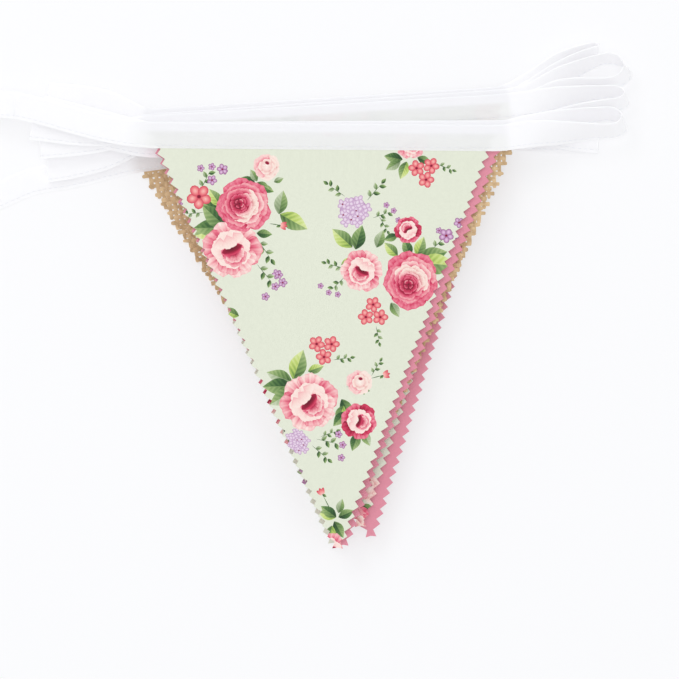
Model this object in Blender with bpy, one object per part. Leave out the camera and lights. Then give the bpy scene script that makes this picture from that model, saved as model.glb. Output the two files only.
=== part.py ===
"""A pennant bunting folded up: twelve pinked cloth flags in one stack, on one white tape.

The bunting lies flat. +Z is up, +Y runs from the flags' tips to the tape, and the origin is under the
middle of the whole thing, on the surface that it lies on. Sizes below are in millimetres.
"""

import math
from collections import namedtuple

import bpy
from mathutils import Vector

MM = 0.001

# The cut of a flag. The drop runs from the tape's edge to the point where the two sides would meet.
# Each side ends in one longer tooth, with a shallow notch between the two.
FLAG_WIDTH = 163.0
COTTON_DROP = 195.0
BURLAP_DROP = 182.0
COTTON_THICK = 1.0
BURLAP_THICK = 1.2
TOOTH_PITCH = 5.1
TOOTH_DEPTH = 2.3
NARROWEST_ROW = 2.6
LAST_TOOTH = 0.7
LAST_NOTCH = 0.6
LAYER_GAP = 0.35

# The tape, folded in half along its length, and the slit between it and a flag's top edge.
TAPE_WIDTH = 12.5
TAPE_THICK = 1.0
SEAM_GAP = 0.3
LEFT_STEPS = 3
STRAIGHT_STEPS = 3
RIGHT_STEPS = 3
TAIL_STEPS = 2
TURN_STEPS = 8
FOLD_STEPS = 4

# The top few flags rise off a flat stack in soft waves, from a line a little below the tape. The
# topmost one also curls up along the lower part of its right side.
RISING_FLAGS = 4
TOP_RISE = 2.4
CALM_SHARE = 0.35
RISE_LINE = 60.0
RISE_LENGTH = 40.0
WAVE_LENGTH_X = 120.0
WAVE_LENGTH_Y = 130.0
WAVE_START_X = 60.0
WAVE_START_Y = -30.0
CURL_HEIGHT = 2.4
CURL_MIDDLE = 150.0
CURL_REACH = 42.0

COLOURS = {
    "floral": (0.77, 0.80, 0.68),
    "pink": (0.72, 0.17, 0.28),
    "burlap": (0.55, 0.38, 0.18),
    "tape": (0.86, 0.86, 0.89),
}

# One row for each flag, from the top of the stack down: the middle of its top edge, how far it is
# turned in degrees, how far its point leans to the right, how wide it was cut, and how many columns
# its sheet has.
Flag = namedtuple("Flag", "cloth x y turn lean width columns")
FLAGS = (
    Flag("floral", 25.9, 70.1, -0.5, 8.9, 159.2, 6),
    Flag("pink", 28.2, 71.3, 0.3, 6.6, 166.0, 6),
    Flag("burlap", 35.2, 70.5, 0.3, 0.0, FLAG_WIDTH, 6),
    Flag("floral", 28.3, 79.4, 3.5, 4.1, FLAG_WIDTH, 6),
    Flag("pink", 31.3, 74.3, 5.3, 0.0, FLAG_WIDTH, 2),
    Flag("burlap", 27.0, 81.0, 4.0, 0.0, FLAG_WIDTH, 2),
    Flag("floral", 32.4, 79.4, 4.6, 0.0, FLAG_WIDTH, 2),
    Flag("pink", 27.0, 83.0, 3.6, 0.0, FLAG_WIDTH, 2),
    Flag("burlap", 29.0, 80.0, 2.4, 0.0, FLAG_WIDTH, 2),
    Flag("floral", 28.0, 71.3, 0.0, 3.0, FLAG_WIDTH, 2),
    Flag("pink", 29.0, 81.0, 2.8, 0.0, FLAG_WIDTH, 2),
    Flag("burlap", 19.2, 71.3, 7.8, 0.0, FLAG_WIDTH, 2),
)

# The flat folds at the left: the two runs that each joins, its outermost point, its heading, and a
# point that both runs pass on their way to their flags.
Fold = namedtuple("Fold", "runs x y heading via_x via_y")
LEFT_FOLDS = (
    Fold((2, 3), -108.0, 90.0, -12.0, -80.0, 83.2),
    Fold((4, 5), -113.3, 81.8, -8.0, -83.0, 78.5),
    Fold((6, 7), -109.4, 72.7, 4.0, -81.0, 75.8),
    Fold((8, 9), -106.1, 97.2, -6.0, -79.0, 93.6),
    Fold((10, 11), -106.6, 61.7, 7.0, -79.0, 67.6),
)

# Where a run passes to the right of its flag: the points it goes through, with its height and its
# lean there in degrees (0 is flat, 90 stands on the flags' edge of the tape).
Station = namedtuple("Station", "x y z lean")
RIGHT_RUNS = {
    1: (Station(125, 78.0, 15.9, 4), Station(140, 78.8, 13.6, 34), Station(161, 79.6, 10.9, 60)),
    2: (Station(125, 81.2, 14.2, 4), Station(140, 84.6, 11.4, 34), Station(161, 88.2, 6.9, 60)),
    3: (Station(125, 77.6, 12.1, 4), Station(140, 85.6, 9.2, 34), Station(163, 92.2, 9.3, 64)),
    4: (Station(125, 92.8, 11.9, 4), Station(140, 95.6, 10.3, 34), Station(163, 98.8, 6.8, 64)),
    5: (Station(125, 92.0, 9.9, 4), Station(140, 99.4, 8.6, 34), Station(161, 102.6, 8.6, 68)),
    6: (Station(125, 96.6, 8.5, 4), Station(140, 105.8, 7.4, 34), Station(161, 114.6, 6.8, 68)),
    7: (Station(125, 97.9, 7.0, 4), Station(140, 108.8, 6.3, 34), Station(155, 116.4, 7.2, 58)),
    8: (Station(125, 101.9, 5.7, 4), Station(140, 112.8, 5.4, 34), Station(155, 118.7, 6.0, 58)),
    9: (Station(125, 83.6, 4.6, 0), Station(140, 77.9, 3.2, 0), Station(157, 76.0, 2.2, 0)),
    10: (Station(125, 76.6, 3.3, 0), Station(140, 76.1, 1.8, 0), Station(157, 76.0, 0.7, 0)),
    11: (Station(133, 91.6, 1.95, 0),),
    12: (Station(133, 91.6, 0.53, 0),),
}

# How far each right turn reaches past its last station, and how far its outer end tips inwards.
Turn = namedtuple("Turn", "runs reach tip")
RIGHT_TURNS = (
    Turn((1, 2), 8.5, 0.30),
    Turn((3, 4), 7.5, 0.30),
    Turn((5, 6), 10.0, 0.45),
    Turn((7, 8), 2.2, 0.0),
    Turn((9, 10), 0.75, 0.0),
    Turn((11, 12), 0.72, 0.0),
)

# The two free ends, from the flag outwards.
TOP_TAIL = (
    Station(-113, 90.0, 16.2, 0),
    Station(-122, 91.6, 15.2, 0),
    Station(-135, 92.6, 10.4, 0),
    Station(-150, 93.6, 4.2, 0),
    Station(-158, 94.3, 1.5, 0),
    Station(-165, 94.8, 0.63, 0),
    Station(-171.5, 95.2, 0.52, 0),
)
BOTTOM_TAIL = (
    Station(-94, 59.4, 0.5, 0),
    Station(-113, 56.2, 0.5, 0),
    Station(-129, 49.6, 0.5, 0),
    Station(-148, 41.6, 0.5, 0),
    Station(-166, 36.0, 0.5, 0),
)


def clear_scene():
    """Remove whatever the file starts with."""
    for thing in list(bpy.data.objects):
        bpy.data.objects.remove(thing)


def material(name):
    """One plain finish for each cloth."""
    made = bpy.data.materials.get(name) or bpy.data.materials.new(name)
    made.use_nodes = True
    shader = made.node_tree.nodes["Principled BSDF"]
    shader.inputs["Base Color"].default_value = (*COLOURS[name], 1.0)
    shader.inputs["Roughness"].default_value = 0.9
    shader.inputs["Metallic"].default_value = 0.0
    return made


def add_solid(name, points, faces, cloth):
    """Make one object from points in millimetres."""
    mesh = bpy.data.meshes.new(name)
    mesh.from_pydata([Vector(p) * MM for p in points], [], faces)
    mesh.validate()
    mesh.materials.append(material(cloth))
    made = bpy.data.objects.new(name, mesh)
    bpy.context.scene.collection.objects.link(made)
    return made


def thickness(flag):
    return BURLAP_THICK if flag.cloth == "burlap" else COTTON_THICK


def undersides():
    """The height of each flag's underside, from the top of the stack down."""
    heights = []
    height = 0.0
    for flag in reversed(FLAGS):
        heights.append(height)
        height += thickness(flag) + LAYER_GAP
    return heights[::-1]


def in_stack(flag, along, up):
    """A point of a flag's own plane, across its top edge and up from it, as it lies in the stack."""
    turn = math.radians(flag.turn)
    x = flag.x + along * math.cos(turn) - up * math.sin(turn)
    y = flag.y + along * math.sin(turn) + up * math.cos(turn)
    return x, y


def smooth(share):
    share = min(1.0, max(0.0, share))
    return share * share * (3.0 - 2.0 * share)


def rise(number, x, y, along, drop):
    """How far a flag stands off the flat stack: none at the tape or in the lower flags."""
    share = max(0.0, 1.0 - (number - 1) / RISING_FLAGS)
    across = 0.5 + 0.5 * math.cos(2 * math.pi * (x - WAVE_START_X) / WAVE_LENGTH_X)
    down = 0.5 + 0.5 * math.sin(2 * math.pi * (y - WAVE_START_Y) / WAVE_LENGTH_Y)
    wave = CALM_SHARE + (1.0 - CALM_SHARE) * across * down
    height = TOP_RISE * share * wave * smooth((RISE_LINE - y) / RISE_LENGTH)
    if number == 1:
        height += CURL_HEIGHT * smooth(along) * smooth(1.0 - abs(drop - CURL_MIDDLE) / CURL_REACH)
    return height


def flag_solid(number, flag, underside):
    """One pennant: a thin sheet with pinked sides that ends in two small points."""
    drop = BURLAP_DROP if flag.cloth == "burlap" else COTTON_DROP
    side = math.hypot(flag.width / 2, drop)
    teeth = round(side / TOOTH_PITCH)
    inset = TOOTH_DEPTH * side / drop
    points = []

    def add(along, fraction, inwards=0.0):
        """Add an upper point, placed by its share of the half width and of the drop."""
        half = flag.width / 2 * (1.0 - fraction) - inwards
        down = fraction * drop
        x, y = in_stack(flag, along * half + flag.lean * fraction, -down)
        points.append((x, y, underside + thickness(flag) + rise(number, x, y, along, down)))
        return len(points) - 1

    rows = []
    row = 0
    while flag.width * (1.0 - row / teeth) - 2 * inset > NARROWEST_ROW:
        columns = [2.0 * c / flag.columns - 1.0 for c in range(flag.columns + 1)]
        rows.append([add(along, row / teeth, inset) for along in columns])
        row += 1
    upper = []
    for above, below in zip(rows, rows[1:]):
        for c in range(flag.columns):
            upper.append((above[c], below[c], below[c + 1], above[c + 1]))
    left, right = [], []
    for i in range(len(rows) - 1):
        left.append(add(-1.0, (i + 0.5) / teeth))
        right.append(add(1.0, (i + 0.5) / teeth))
        upper.append((rows[i][0], left[i], rows[i + 1][0]))
        upper.append((rows[i][-1], rows[i + 1][-1], right[i]))
    last = rows[-1]
    left.append(add(-1.0, (len(rows) - 1 + LAST_TOOTH) / teeth))
    notch = add(0.0, (len(rows) - 1 + LAST_NOTCH) / teeth)
    right.append(add(1.0, (len(rows) - 1 + LAST_TOOTH) / teeth))
    upper.append((last[0], left[-1], notch))
    upper.append((last[-1], notch, right[-1]))
    upper.append((*last[::-1], notch))

    rim = list(rows[0][::-1])
    for i, tooth in enumerate(left):
        rim.append(tooth)
        rim.append(rows[i + 1][0] if i + 1 < len(rows) else notch)
    rim += [right[-1], last[-1]]
    for i in range(len(rows) - 2, -1, -1):
        rim += [right[i], rows[i][-1]]
    rim.pop()
    count = len(points)
    points += [(x, y, z - thickness(flag)) for x, y, z in points]
    lower = [tuple(i + count for i in reversed(face)) for face in upper]
    walls = [(a, a + count, b + count, b) for a, b in zip(rim, rim[1:] + rim[:1])]
    return add_solid(f"flag_{number:02d}_{flag.cloth}", points, upper + lower + walls, flag.cloth)


def hermite(start, end, start_slope, end_slope, share):
    """A smooth line between two points, with its directions at both ends scaled to its length."""
    square, cube = share * share, share**3
    return (
        start * (2 * cube - 3 * square + 1)
        + start_slope * (cube - 2 * square + share)
        + end * (3 * square - 2 * cube)
        + end_slope * (cube - square)
    )


def heading(degrees):
    """A level direction of length one, which keeps a stop's lean as it is."""
    angle = math.radians(degrees)
    return Vector((math.cos(angle), math.sin(angle), 0.0, 0.0))


def direction(start, end):
    """The direction from one stop to another, which keeps a stop's lean as it is."""
    return Vector((*(end.xyz - start.xyz).normalized(), 0.0))


def through(stops, first_slope, last_slope, steps):
    """Points along a smooth line through stops, each x, y, z and lean, without its first point."""
    slopes = [(b - a) / 2 for a, b in zip(stops, stops[2:])]
    spans = [(b.xyz - a.xyz).length for a, b in zip(stops, stops[1:])]
    slopes = [first_slope * spans[0], *slopes, last_slope * spans[-1]]
    line = []
    for i, (a, b) in enumerate(zip(stops, stops[1:])):
        for step in range(1, steps + 1):
            line.append(hermite(a, b, slopes[i], slopes[i + 1], step / steps))
    return line


def tape_height(number):
    return undersides()[number - 1] + TAPE_THICK / 2


def seam_ends(number):
    """The tape's middle line over a flag's two top corners, as x, y, z and lean."""
    flag, height = FLAGS[number - 1], tape_height(number)
    up = SEAM_GAP + TAPE_WIDTH / 2
    ends = [in_stack(flag, along, up) for along in (-FLAG_WIDTH / 2, FLAG_WIDTH / 2)]
    return [Vector((x, y, height, 0.0)) for x, y in ends]


def left_part(number):
    """A run from its left fold, or from its free end, to its flag's left corner."""
    corner = seam_ends(number)[0]
    along_flag = heading(FLAGS[number - 1].turn)
    tails = {1: TOP_TAIL, len(FLAGS): BOTTOM_TAIL}
    if number in tails:
        stops = [Vector(station) for station in reversed(tails[number])] + [corner]
        return [stops[0]] + through(stops, direction(*stops[:2]), along_flag, TAIL_STEPS)
    fold = next(f for f in LEFT_FOLDS if number in f.runs)
    out = heading(fold.heading)
    radius = abs(tape_height(fold.runs[0]) - tape_height(fold.runs[1])) / 2
    reach = radius + TAPE_THICK / 2
    start = Vector((fold.x + out.x * reach, fold.y + out.y * reach, corner.z, 0.0))
    via = Vector((fold.via_x, fold.via_y, corner.z, 0.0))
    return [start] + through([start, via, corner], out, along_flag, LEFT_STEPS)


def right_part(number):
    """A run from its flag's right corner to where its right turn begins."""
    corner = seam_ends(number)[1]
    stops = [corner] + [Vector(station) for station in RIGHT_RUNS[number]]
    last = (direction(*stops[-2:]) + heading(0)) / 2
    return through(stops, heading(FLAGS[number - 1].turn), last, RIGHT_STEPS)


def run(number):
    """The stops of one run of tape, from left to right."""
    left, right = seam_ends(number)
    seam = [left.lerp(right, step / STRAIGHT_STEPS) for step in range(1, STRAIGHT_STEPS + 1)]
    return left_part(number) + seam + right_part(number)


def half_turn(a, b, out, reach, tip, steps):
    """The sections of a half turn from a to b that reaches out in the direction given.

    They are square to that direction, apart from the outer end, which tips inwards.
    """
    middle, half = (a.xyz + b.xyz) / 2, (a.xyz - b.xyz) / 2
    lean = (a.w + b.w) / 2
    square = -out.y * math.cos(math.radians(lean))
    sections = []
    for step in range(steps + 1):
        angle = math.pi * step / steps
        place = middle + half * math.cos(angle) + out * reach * math.sin(angle)
        sections.append((place, lean, out * (square - tip * math.sin(angle))))
    return sections


def turn_after(number, a, b):
    """The sections of the turn from one run to the next: soft at the right, a flat fold at the left."""
    if number % 2:
        turn = next(t for t in RIGHT_TURNS if number in t.runs)
        steps = FOLD_STEPS if a.w == 0.0 else TURN_STEPS
        return half_turn(a, b, Vector((1.0, 0.0, 0.0)), turn.reach, turn.tip, steps)
    fold = next(f for f in LEFT_FOLDS if number in f.runs)
    return half_turn(a, b, -heading(fold.heading).xyz, (a.z - b.z) / 2, 0.0, FOLD_STEPS)


def tape_route():
    """Every section of the tape from its top free end to its bottom one: middle, lean and tip."""
    count = len(FLAGS)
    runs = [run(number) if number % 2 else run(number)[::-1] for number in range(1, count + 1)]
    route = []
    for number, stops in enumerate(runs, 1):
        first = 1 if number > 1 else 0
        last = len(stops) - (1 if number < count else 0)
        route += [(stop.xyz, stop.w, Vector((0.0, 0.0, 0.0))) for stop in stops[first:last]]
        if number < count:
            route += turn_after(number, stops[-1], runs[number][0])
    return route


def tape_solid():
    """The tape as one strip along its route. Its edge on the flags' side always faces the flags."""
    route = tape_route()
    places = [place for place, lean, tip in route]
    points, faces = [], []
    for i, (place, lean, tip) in enumerate(route):
        before = (place - places[i - 1]).normalized() if i else Vector()
        after = (places[i + 1] - place).normalized() if i + 1 < len(places) else Vector()
        along = (before + after).normalized()
        angle = math.radians(lean)
        across = Vector((0.0, -math.cos(angle), -math.sin(angle))) - tip
        across = (across - along * across.dot(along)).normalized() * TAPE_WIDTH / 2
        face = along.cross(across).normalized() * TAPE_THICK / 2
        points += [place + across + face, place - across + face]
        points += [place - across - face, place + across - face]
    for i in range(len(route) - 1):
        ring, following = range(4 * i, 4 * i + 4), range(4 * i + 4, 4 * i + 8)
        for k in range(4):
            faces.append((ring[k], ring[k - 3], following[k - 3], following[k]))
    faces.append((3, 2, 1, 0))
    faces.append(tuple(range(len(points) - 4, len(points))))
    return add_solid("tape", points, faces, "tape")


def centre(made):
    """Move every solid so that the origin is under the middle of them all."""
    corners = [vertex.co for thing in made for vertex in thing.data.vertices]
    low = Vector(min(corner[axis] for corner in corners) for axis in range(3))
    high = Vector(max(corner[axis] for corner in corners) for axis in range(3))
    shift = Vector(((low.x + high.x) / 2, (low.y + high.y) / 2, low.z))
    for thing in made:
        for vertex in thing.data.vertices:
            vertex.co -= shift


def main():
    clear_scene()
    made = []
    for number, (flag, underside) in enumerate(zip(FLAGS, undersides()), 1):
        made.append(flag_solid(number, flag, underside))
    made.append(tape_solid())
    centre(made)


main()
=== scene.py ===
"""A pennant bunting folded up on a pale surface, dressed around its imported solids.

Twelve pinked flags lie in one stack: flower print, pink cotton and burlap by turns. One white tape,
folded in half along its length and sewn, runs back and forth over their top edges. Shapes are worked
out in millimetres, in the flags' own plane where p runs along the top edge and q down from it.
"""

import logging
import math
import random
from collections.abc import Callable, Iterable, Sequence
from dataclasses import dataclass
from enum import Enum

import bpy
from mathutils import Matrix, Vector, noise
from mathutils.geometry import delaunay_2d_cdt


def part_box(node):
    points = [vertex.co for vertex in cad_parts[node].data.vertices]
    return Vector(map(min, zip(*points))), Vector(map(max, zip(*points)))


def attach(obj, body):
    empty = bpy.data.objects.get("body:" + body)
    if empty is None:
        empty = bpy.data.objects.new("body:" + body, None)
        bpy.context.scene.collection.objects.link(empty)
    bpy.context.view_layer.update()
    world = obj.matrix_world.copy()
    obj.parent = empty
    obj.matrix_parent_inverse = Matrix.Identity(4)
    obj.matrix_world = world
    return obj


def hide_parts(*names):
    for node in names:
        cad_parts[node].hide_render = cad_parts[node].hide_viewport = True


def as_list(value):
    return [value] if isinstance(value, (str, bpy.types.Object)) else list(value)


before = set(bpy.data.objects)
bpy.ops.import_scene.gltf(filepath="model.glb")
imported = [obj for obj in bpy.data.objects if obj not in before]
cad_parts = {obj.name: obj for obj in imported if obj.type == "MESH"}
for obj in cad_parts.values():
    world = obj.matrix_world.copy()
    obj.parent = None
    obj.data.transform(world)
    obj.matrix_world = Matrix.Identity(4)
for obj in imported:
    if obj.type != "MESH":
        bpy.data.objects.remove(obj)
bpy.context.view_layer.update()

MM = 0.001
ROOT = "root"
LOG = logging.getLogger("bunting")

Point = tuple[float, float]
Colour = tuple[float, float, float]
Bounds = tuple[float, float, float, float]
Crossing = tuple[float, float, float]
Triangle = tuple[int, int, int]
Sheet = tuple[list[Point], list[Triangle], list[int]]


def linear(red: int, green: int, blue: int) -> Colour:
    """Turn a colour as it looks on a screen into the linear one that shaders use.

    Args:
        red: The red part, from 0 to 255.
        green: The green part.
        blue: The blue part.

    Returns:
        The linear colour, from 0 to 1.
    """
    parts = (part / 255 for part in (red, green, blue))
    return tuple(part / 12.92 if part <= 0.04045 else ((part + 0.055) / 1.055) ** 2.4 for part in parts)


def mix(first: Colour, second: Colour, share: float) -> Colour:
    """Blend two colours.

    Args:
        first: The colour at share 0.
        second: The colour at share 1.
        share: How far to go from one to the other.

    Returns:
        The blended colour.
    """
    share = min(1.0, max(0.0, share))
    return tuple(a + (b - a) * share for a, b in zip(first, second))


def smooth(share: float) -> float:
    """Ease a share between 0 and 1, with level ends."""
    share = min(1.0, max(0.0, share))
    return share * share * (3.0 - 2.0 * share)


def polar(x: float, y: float, reach: float, degrees: float) -> Point:
    """The point at a distance and in a direction from another one."""
    angle = math.radians(degrees)
    return x + reach * math.cos(angle), y + reach * math.sin(angle)


def put_in_scene(name: str, data: bpy.types.ID) -> bpy.types.Object:
    """Make an object from a mesh, a light or a camera, and link it to the scene."""
    made = bpy.data.objects.new(name, data)
    bpy.context.scene.collection.objects.link(made)
    return made


class Cloth(Enum):
    """The cloths that the flags are cut from."""

    FLORAL = "floral"
    PINK = "pink"
    BURLAP = "burlap"


@dataclass(frozen=True)
class Flag:
    """One flag: the middle of its top edge, its turn, its point's lean and how wide it was cut."""

    number: int
    cloth: Cloth
    x: float
    y: float
    turn: float
    lean: float = 0.0
    width: float = 163.0
    print_shift: Point = (0.0, 0.0)

    @property
    def node(self) -> str:
        """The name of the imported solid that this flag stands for."""
        return f"flag_{self.number:02d}_{self.cloth.value}"

    @property
    def piece(self) -> str:
        """The name of the flag's own piece."""
        return f"{self.cloth.value}_flag_{self.number:02d}"


FLAGS: tuple[Flag, ...] = (
    Flag(1, Cloth.FLORAL, 25.9, 70.1, -0.5, 8.9, 159.2, (1.9, 0.0)),
    Flag(2, Cloth.PINK, 28.2, 71.3, 0.3, 6.6, 166.0),
    Flag(3, Cloth.BURLAP, 35.2, 70.5, 0.3),
    Flag(4, Cloth.FLORAL, 28.3, 79.4, 3.5, 4.1, print_shift=(38.0, -42.0)),
    Flag(5, Cloth.PINK, 31.3, 74.3, 5.3),
    Flag(6, Cloth.BURLAP, 27.0, 81.0, 4.0),
    Flag(7, Cloth.FLORAL, 32.4, 79.4, 4.6, print_shift=(-30.0, 60.0)),
    Flag(8, Cloth.PINK, 27.0, 83.0, 3.6),
    Flag(9, Cloth.BURLAP, 29.0, 80.0, 2.4),
    Flag(10, Cloth.FLORAL, 28.0, 71.3, 0.0, 3.0, print_shift=(12.0, 95.0)),
    Flag(11, Cloth.PINK, 29.0, 81.0, 2.8),
    Flag(12, Cloth.BURLAP, 19.2, 71.3, 7.8),
)


@dataclass(frozen=True)
class Station:
    """A point that the tape passes, with its lean: 0 is flat, 90 stands on the flags' edge."""

    x: float
    y: float
    z: float
    lean: float = 0.0

    @property
    def stop(self) -> Vector:
        """The point and its lean as one vector."""
        return Vector((self.x, self.y, self.z, self.lean))


@dataclass(frozen=True)
class Fold:
    """A flat fold of the tape: its outermost point, its heading, and a point on its way back."""

    x: float
    y: float
    heading: float
    via_x: float
    via_y: float


# Each flat fold at the left is named by the run that enters it.
LEFT_FOLDS: dict[int, Fold] = {
    2: Fold(-108.0, 90.0, -12.0, -80.0, 83.2),
    4: Fold(-113.3, 81.8, -8.0, -83.0, 78.5),
    6: Fold(-109.4, 72.7, 4.0, -81.0, 75.8),
    8: Fold(-106.1, 97.2, -6.0, -79.0, 93.6),
    10: Fold(-106.6, 61.7, 7.0, -79.0, 67.6),
}

RIGHT_RUNS: dict[int, tuple[Station, ...]] = {
    1: (Station(125, 78.0, 15.9, 4), Station(140, 78.8, 13.6, 34), Station(161, 79.6, 10.9, 60)),
    2: (Station(125, 81.2, 14.2, 4), Station(140, 84.6, 11.4, 34), Station(161, 88.2, 6.9, 60)),
    3: (Station(125, 77.6, 12.1, 4), Station(140, 85.6, 9.2, 34), Station(163, 92.2, 9.3, 64)),
    4: (Station(125, 92.8, 11.9, 4), Station(140, 95.6, 10.3, 34), Station(163, 98.8, 6.8, 64)),
    5: (Station(125, 92.0, 9.9, 4), Station(140, 99.4, 8.6, 34), Station(161, 102.6, 8.6, 68)),
    6: (Station(125, 96.6, 8.5, 4), Station(140, 105.8, 7.4, 34), Station(161, 114.6, 6.8, 68)),
    7: (Station(125, 97.9, 7.0, 4), Station(140, 108.8, 6.3, 34), Station(155, 116.4, 7.2, 58)),
    8: (Station(125, 101.9, 5.7, 4), Station(140, 112.8, 5.4, 34), Station(155, 118.7, 6.0, 58)),
    9: (Station(125, 83.6, 4.6), Station(140, 77.9, 3.2), Station(157, 76.0, 2.2)),
    10: (Station(125, 76.6, 3.3), Station(140, 76.1, 1.8), Station(157, 76.0, 0.7)),
    11: (Station(133, 91.6, 1.95),),
    12: (Station(133, 91.6, 0.53),),
}

# How far each right turn reaches, and how far its end tips inwards, by the run that enters it.
RIGHT_TURNS: dict[int, tuple[float, float]] = {
    1: (8.5, 0.30),
    3: (7.5, 0.30),
    5: (10.0, 0.45),
    7: (2.2, 0.0),
    9: (0.75, 0.0),
    11: (0.72, 0.0),
}

TAILS: dict[int, tuple[Station, ...]] = {
    1: (
        Station(-171.5, 95.2, 0.52),
        Station(-165, 94.8, 0.63),
        Station(-158, 94.3, 1.5),
        Station(-150, 93.6, 4.2),
        Station(-135, 92.6, 10.4),
        Station(-122, 91.6, 15.2),
        Station(-113, 90.0, 16.2),
    ),
    12: (
        Station(-166, 36.0, 0.5),
        Station(-148, 41.6, 0.5),
        Station(-129, 49.6, 0.5),
        Station(-113, 56.2, 0.5),
        Station(-94, 59.4, 0.5),
    ),
}


@dataclass(frozen=True)
class Stack:
    """The sizes that every flag and the tape share."""

    seam: float = 163.0
    cotton_drop: float = 195.0
    burlap_drop: float = 182.0
    cotton_solid: float = 1.0
    burlap_solid: float = 1.2
    gap: float = 0.35
    tape_width: float = 12.5
    tape_solid: float = 1.0
    seam_gap: float = 0.3
    rising_flags: int = 4
    top_rise: float = 2.4
    calm_share: float = 0.35
    rise_line: float = 60.0
    rise_length: float = 40.0
    wave_x: float = 120.0
    wave_y: float = 130.0
    curl_height: float = 2.4
    curl_middle: float = 150.0
    curl_reach: float = 42.0

    def drop(self, flag: Flag) -> float:
        """The length of a flag from the tape's edge to where its sides would meet."""
        return self.burlap_drop if flag.cloth is Cloth.BURLAP else self.cotton_drop

    def solid(self, flag: Flag) -> float:
        """The thickness of a flag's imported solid."""
        return self.burlap_solid if flag.cloth is Cloth.BURLAP else self.cotton_solid

    def underside(self, number: int) -> float:
        """The height of the underside of the flag with this number."""
        return sum(self.solid(flag) + self.gap for flag in FLAGS if flag.number > number)

    def spot(self, flag: Flag, p: float, q: float) -> Point:
        """Place a point of a flag's plane in the stack.

        Args:
            flag: The flag that the point is on.
            p: How far it lies along the flag's top edge from its middle.
            q: How far it lies below that edge.

        Returns:
            Its place, before the shift that centres the whole bunting.
        """
        turn = math.radians(flag.turn)
        x = flag.x + p * math.cos(turn) + q * math.sin(turn)
        y = flag.y + p * math.sin(turn) - q * math.cos(turn)
        return x, y

    def rise(self, flag: Flag, p: float, q: float) -> float:
        """Give how far a flag stands off a flat stack at one of its points.

        Args:
            flag: The flag.
            p: The point's place along the top edge.
            q: Its place below the edge.

        Returns:
            The rise in millimetres.
        """
        x, y = self.spot(flag, p, q)
        share = max(0.0, 1.0 - (flag.number - 1) / self.rising_flags)
        across = 0.5 + 0.5 * math.cos(2 * math.pi * (x - self.rise_line) / self.wave_x)
        down = 0.5 + 0.5 * math.sin(2 * math.pi * (y + self.rise_line / 2) / self.wave_y)
        wave = self.calm_share + (1.0 - self.calm_share) * across * down
        height = self.top_rise * share * wave * smooth((self.rise_line - y) / self.rise_length)
        if flag.number == 1:
            half = flag.width / 2 * max(0.02, 1.0 - q / self.drop(flag))
            side = (p - flag.lean * q / self.drop(flag)) / half
            reach = smooth(1.0 - abs(q - self.curl_middle) / self.curl_reach)
            height += self.curl_height * smooth(side) * reach
        return height

    def middle(self, flag: Flag, p: float, q: float) -> float:
        """The height of the middle of a flag's cloth at one of its points."""
        return self.underside(flag.number) + self.solid(flag) / 2 + self.rise(flag, p, q)

    def shift(self) -> Vector:
        """Find the move that centres the bunting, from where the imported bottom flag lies.

        Returns:
            The move in millimetres.
        """
        flag = FLAGS[-1]
        low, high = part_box(flag.node)
        teeth = Pinking().teeth(self, flag)
        inset = Pinking().inset(self, flag)
        left = self.spot(flag, -flag.width / 2 * (1 - 0.5 / teeth), 0.5 / teeth * self.drop(flag))
        right = self.spot(flag, flag.width / 2 - inset, 0.0)
        return Vector((low[0] / MM - left[0], high[1] / MM - right[1], 0.0))


@dataclass(frozen=True)
class Pinking:
    """The zig-zag that shears leave along a flag's two sides."""

    pitch: float = 5.1
    depth: float = 2.3
    narrowest: float = 2.6
    hidden: float = 8.4
    waver: float = 0.16

    def side(self, stack: Stack, flag: Flag) -> float:
        """The length of one of a flag's sides."""
        return math.hypot(flag.width / 2, stack.drop(flag))

    def teeth(self, stack: Stack, flag: Flag) -> int:
        """The number of teeth down one of a flag's sides."""
        return round(self.side(stack, flag) / self.pitch)

    def inset(self, stack: Stack, flag: Flag) -> float:
        """How far a notch lies inside the line of the teeth's tips, along the top edge."""
        return self.depth * self.side(stack, flag) / stack.drop(flag)

    def half_width(self, stack: Stack, flag: Flag, q: float) -> float:
        """Give half of a flag's width between its notched sides.

        Args:
            stack: The shared sizes.
            flag: The flag.
            q: How far below the top edge.

        Returns:
            The half width, with the teeth in it.
        """
        step = q / stack.drop(flag) * self.teeth(stack, flag)
        notch = abs((step % 1.0) - 0.5) * 2.0
        return flag.width / 2 * (1.0 - q / stack.drop(flag)) - self.inset(stack, flag) * notch

    def outline(self, stack: Stack, flag: Flag) -> list[Point]:
        """Draw a flag's cut edge, hidden strip and all.

        Args:
            stack: The shared sizes.
            flag: The flag.

        Returns:
            The outline's points in the flag's plane, in order.
        """
        drop, teeth, inset = stack.drop(flag), self.teeth(stack, flag), self.inset(stack, flag)
        chance = random.Random(flag.number)
        last = 0
        while flag.width * (1.0 - (last + 1) / teeth) - 2 * inset > self.narrowest:
            last += 1
        steps = [-1.0 + i / 2 for i in range(2 * last + 3)] + [last + 0.7]

        def flank(side: int) -> list[Point]:
            """The points down one side, from the hidden strip to the last tooth."""
            points = [(side * flag.width / 2 * (1.0 + self.hidden / drop), -self.hidden)]
            for step in steps:
                share = step / teeth
                notch = inset if step == int(step) else 0.0
                if step == last + 0.5:
                    continue
                half = flag.width / 2 * (1.0 - share) - notch
                waver = self.waver * chance.uniform(-1, 1)
                points.append((side * half + flag.lean * share + waver, share * drop + waver))
            return points

        left, right = flank(-1), flank(1)
        tip = (flag.lean * (last + 0.6) / teeth, (last + 0.6) / teeth * drop)
        return left + [tip] + right[::-1]


STACK = Stack()
PINKING = Pinking()


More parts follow.
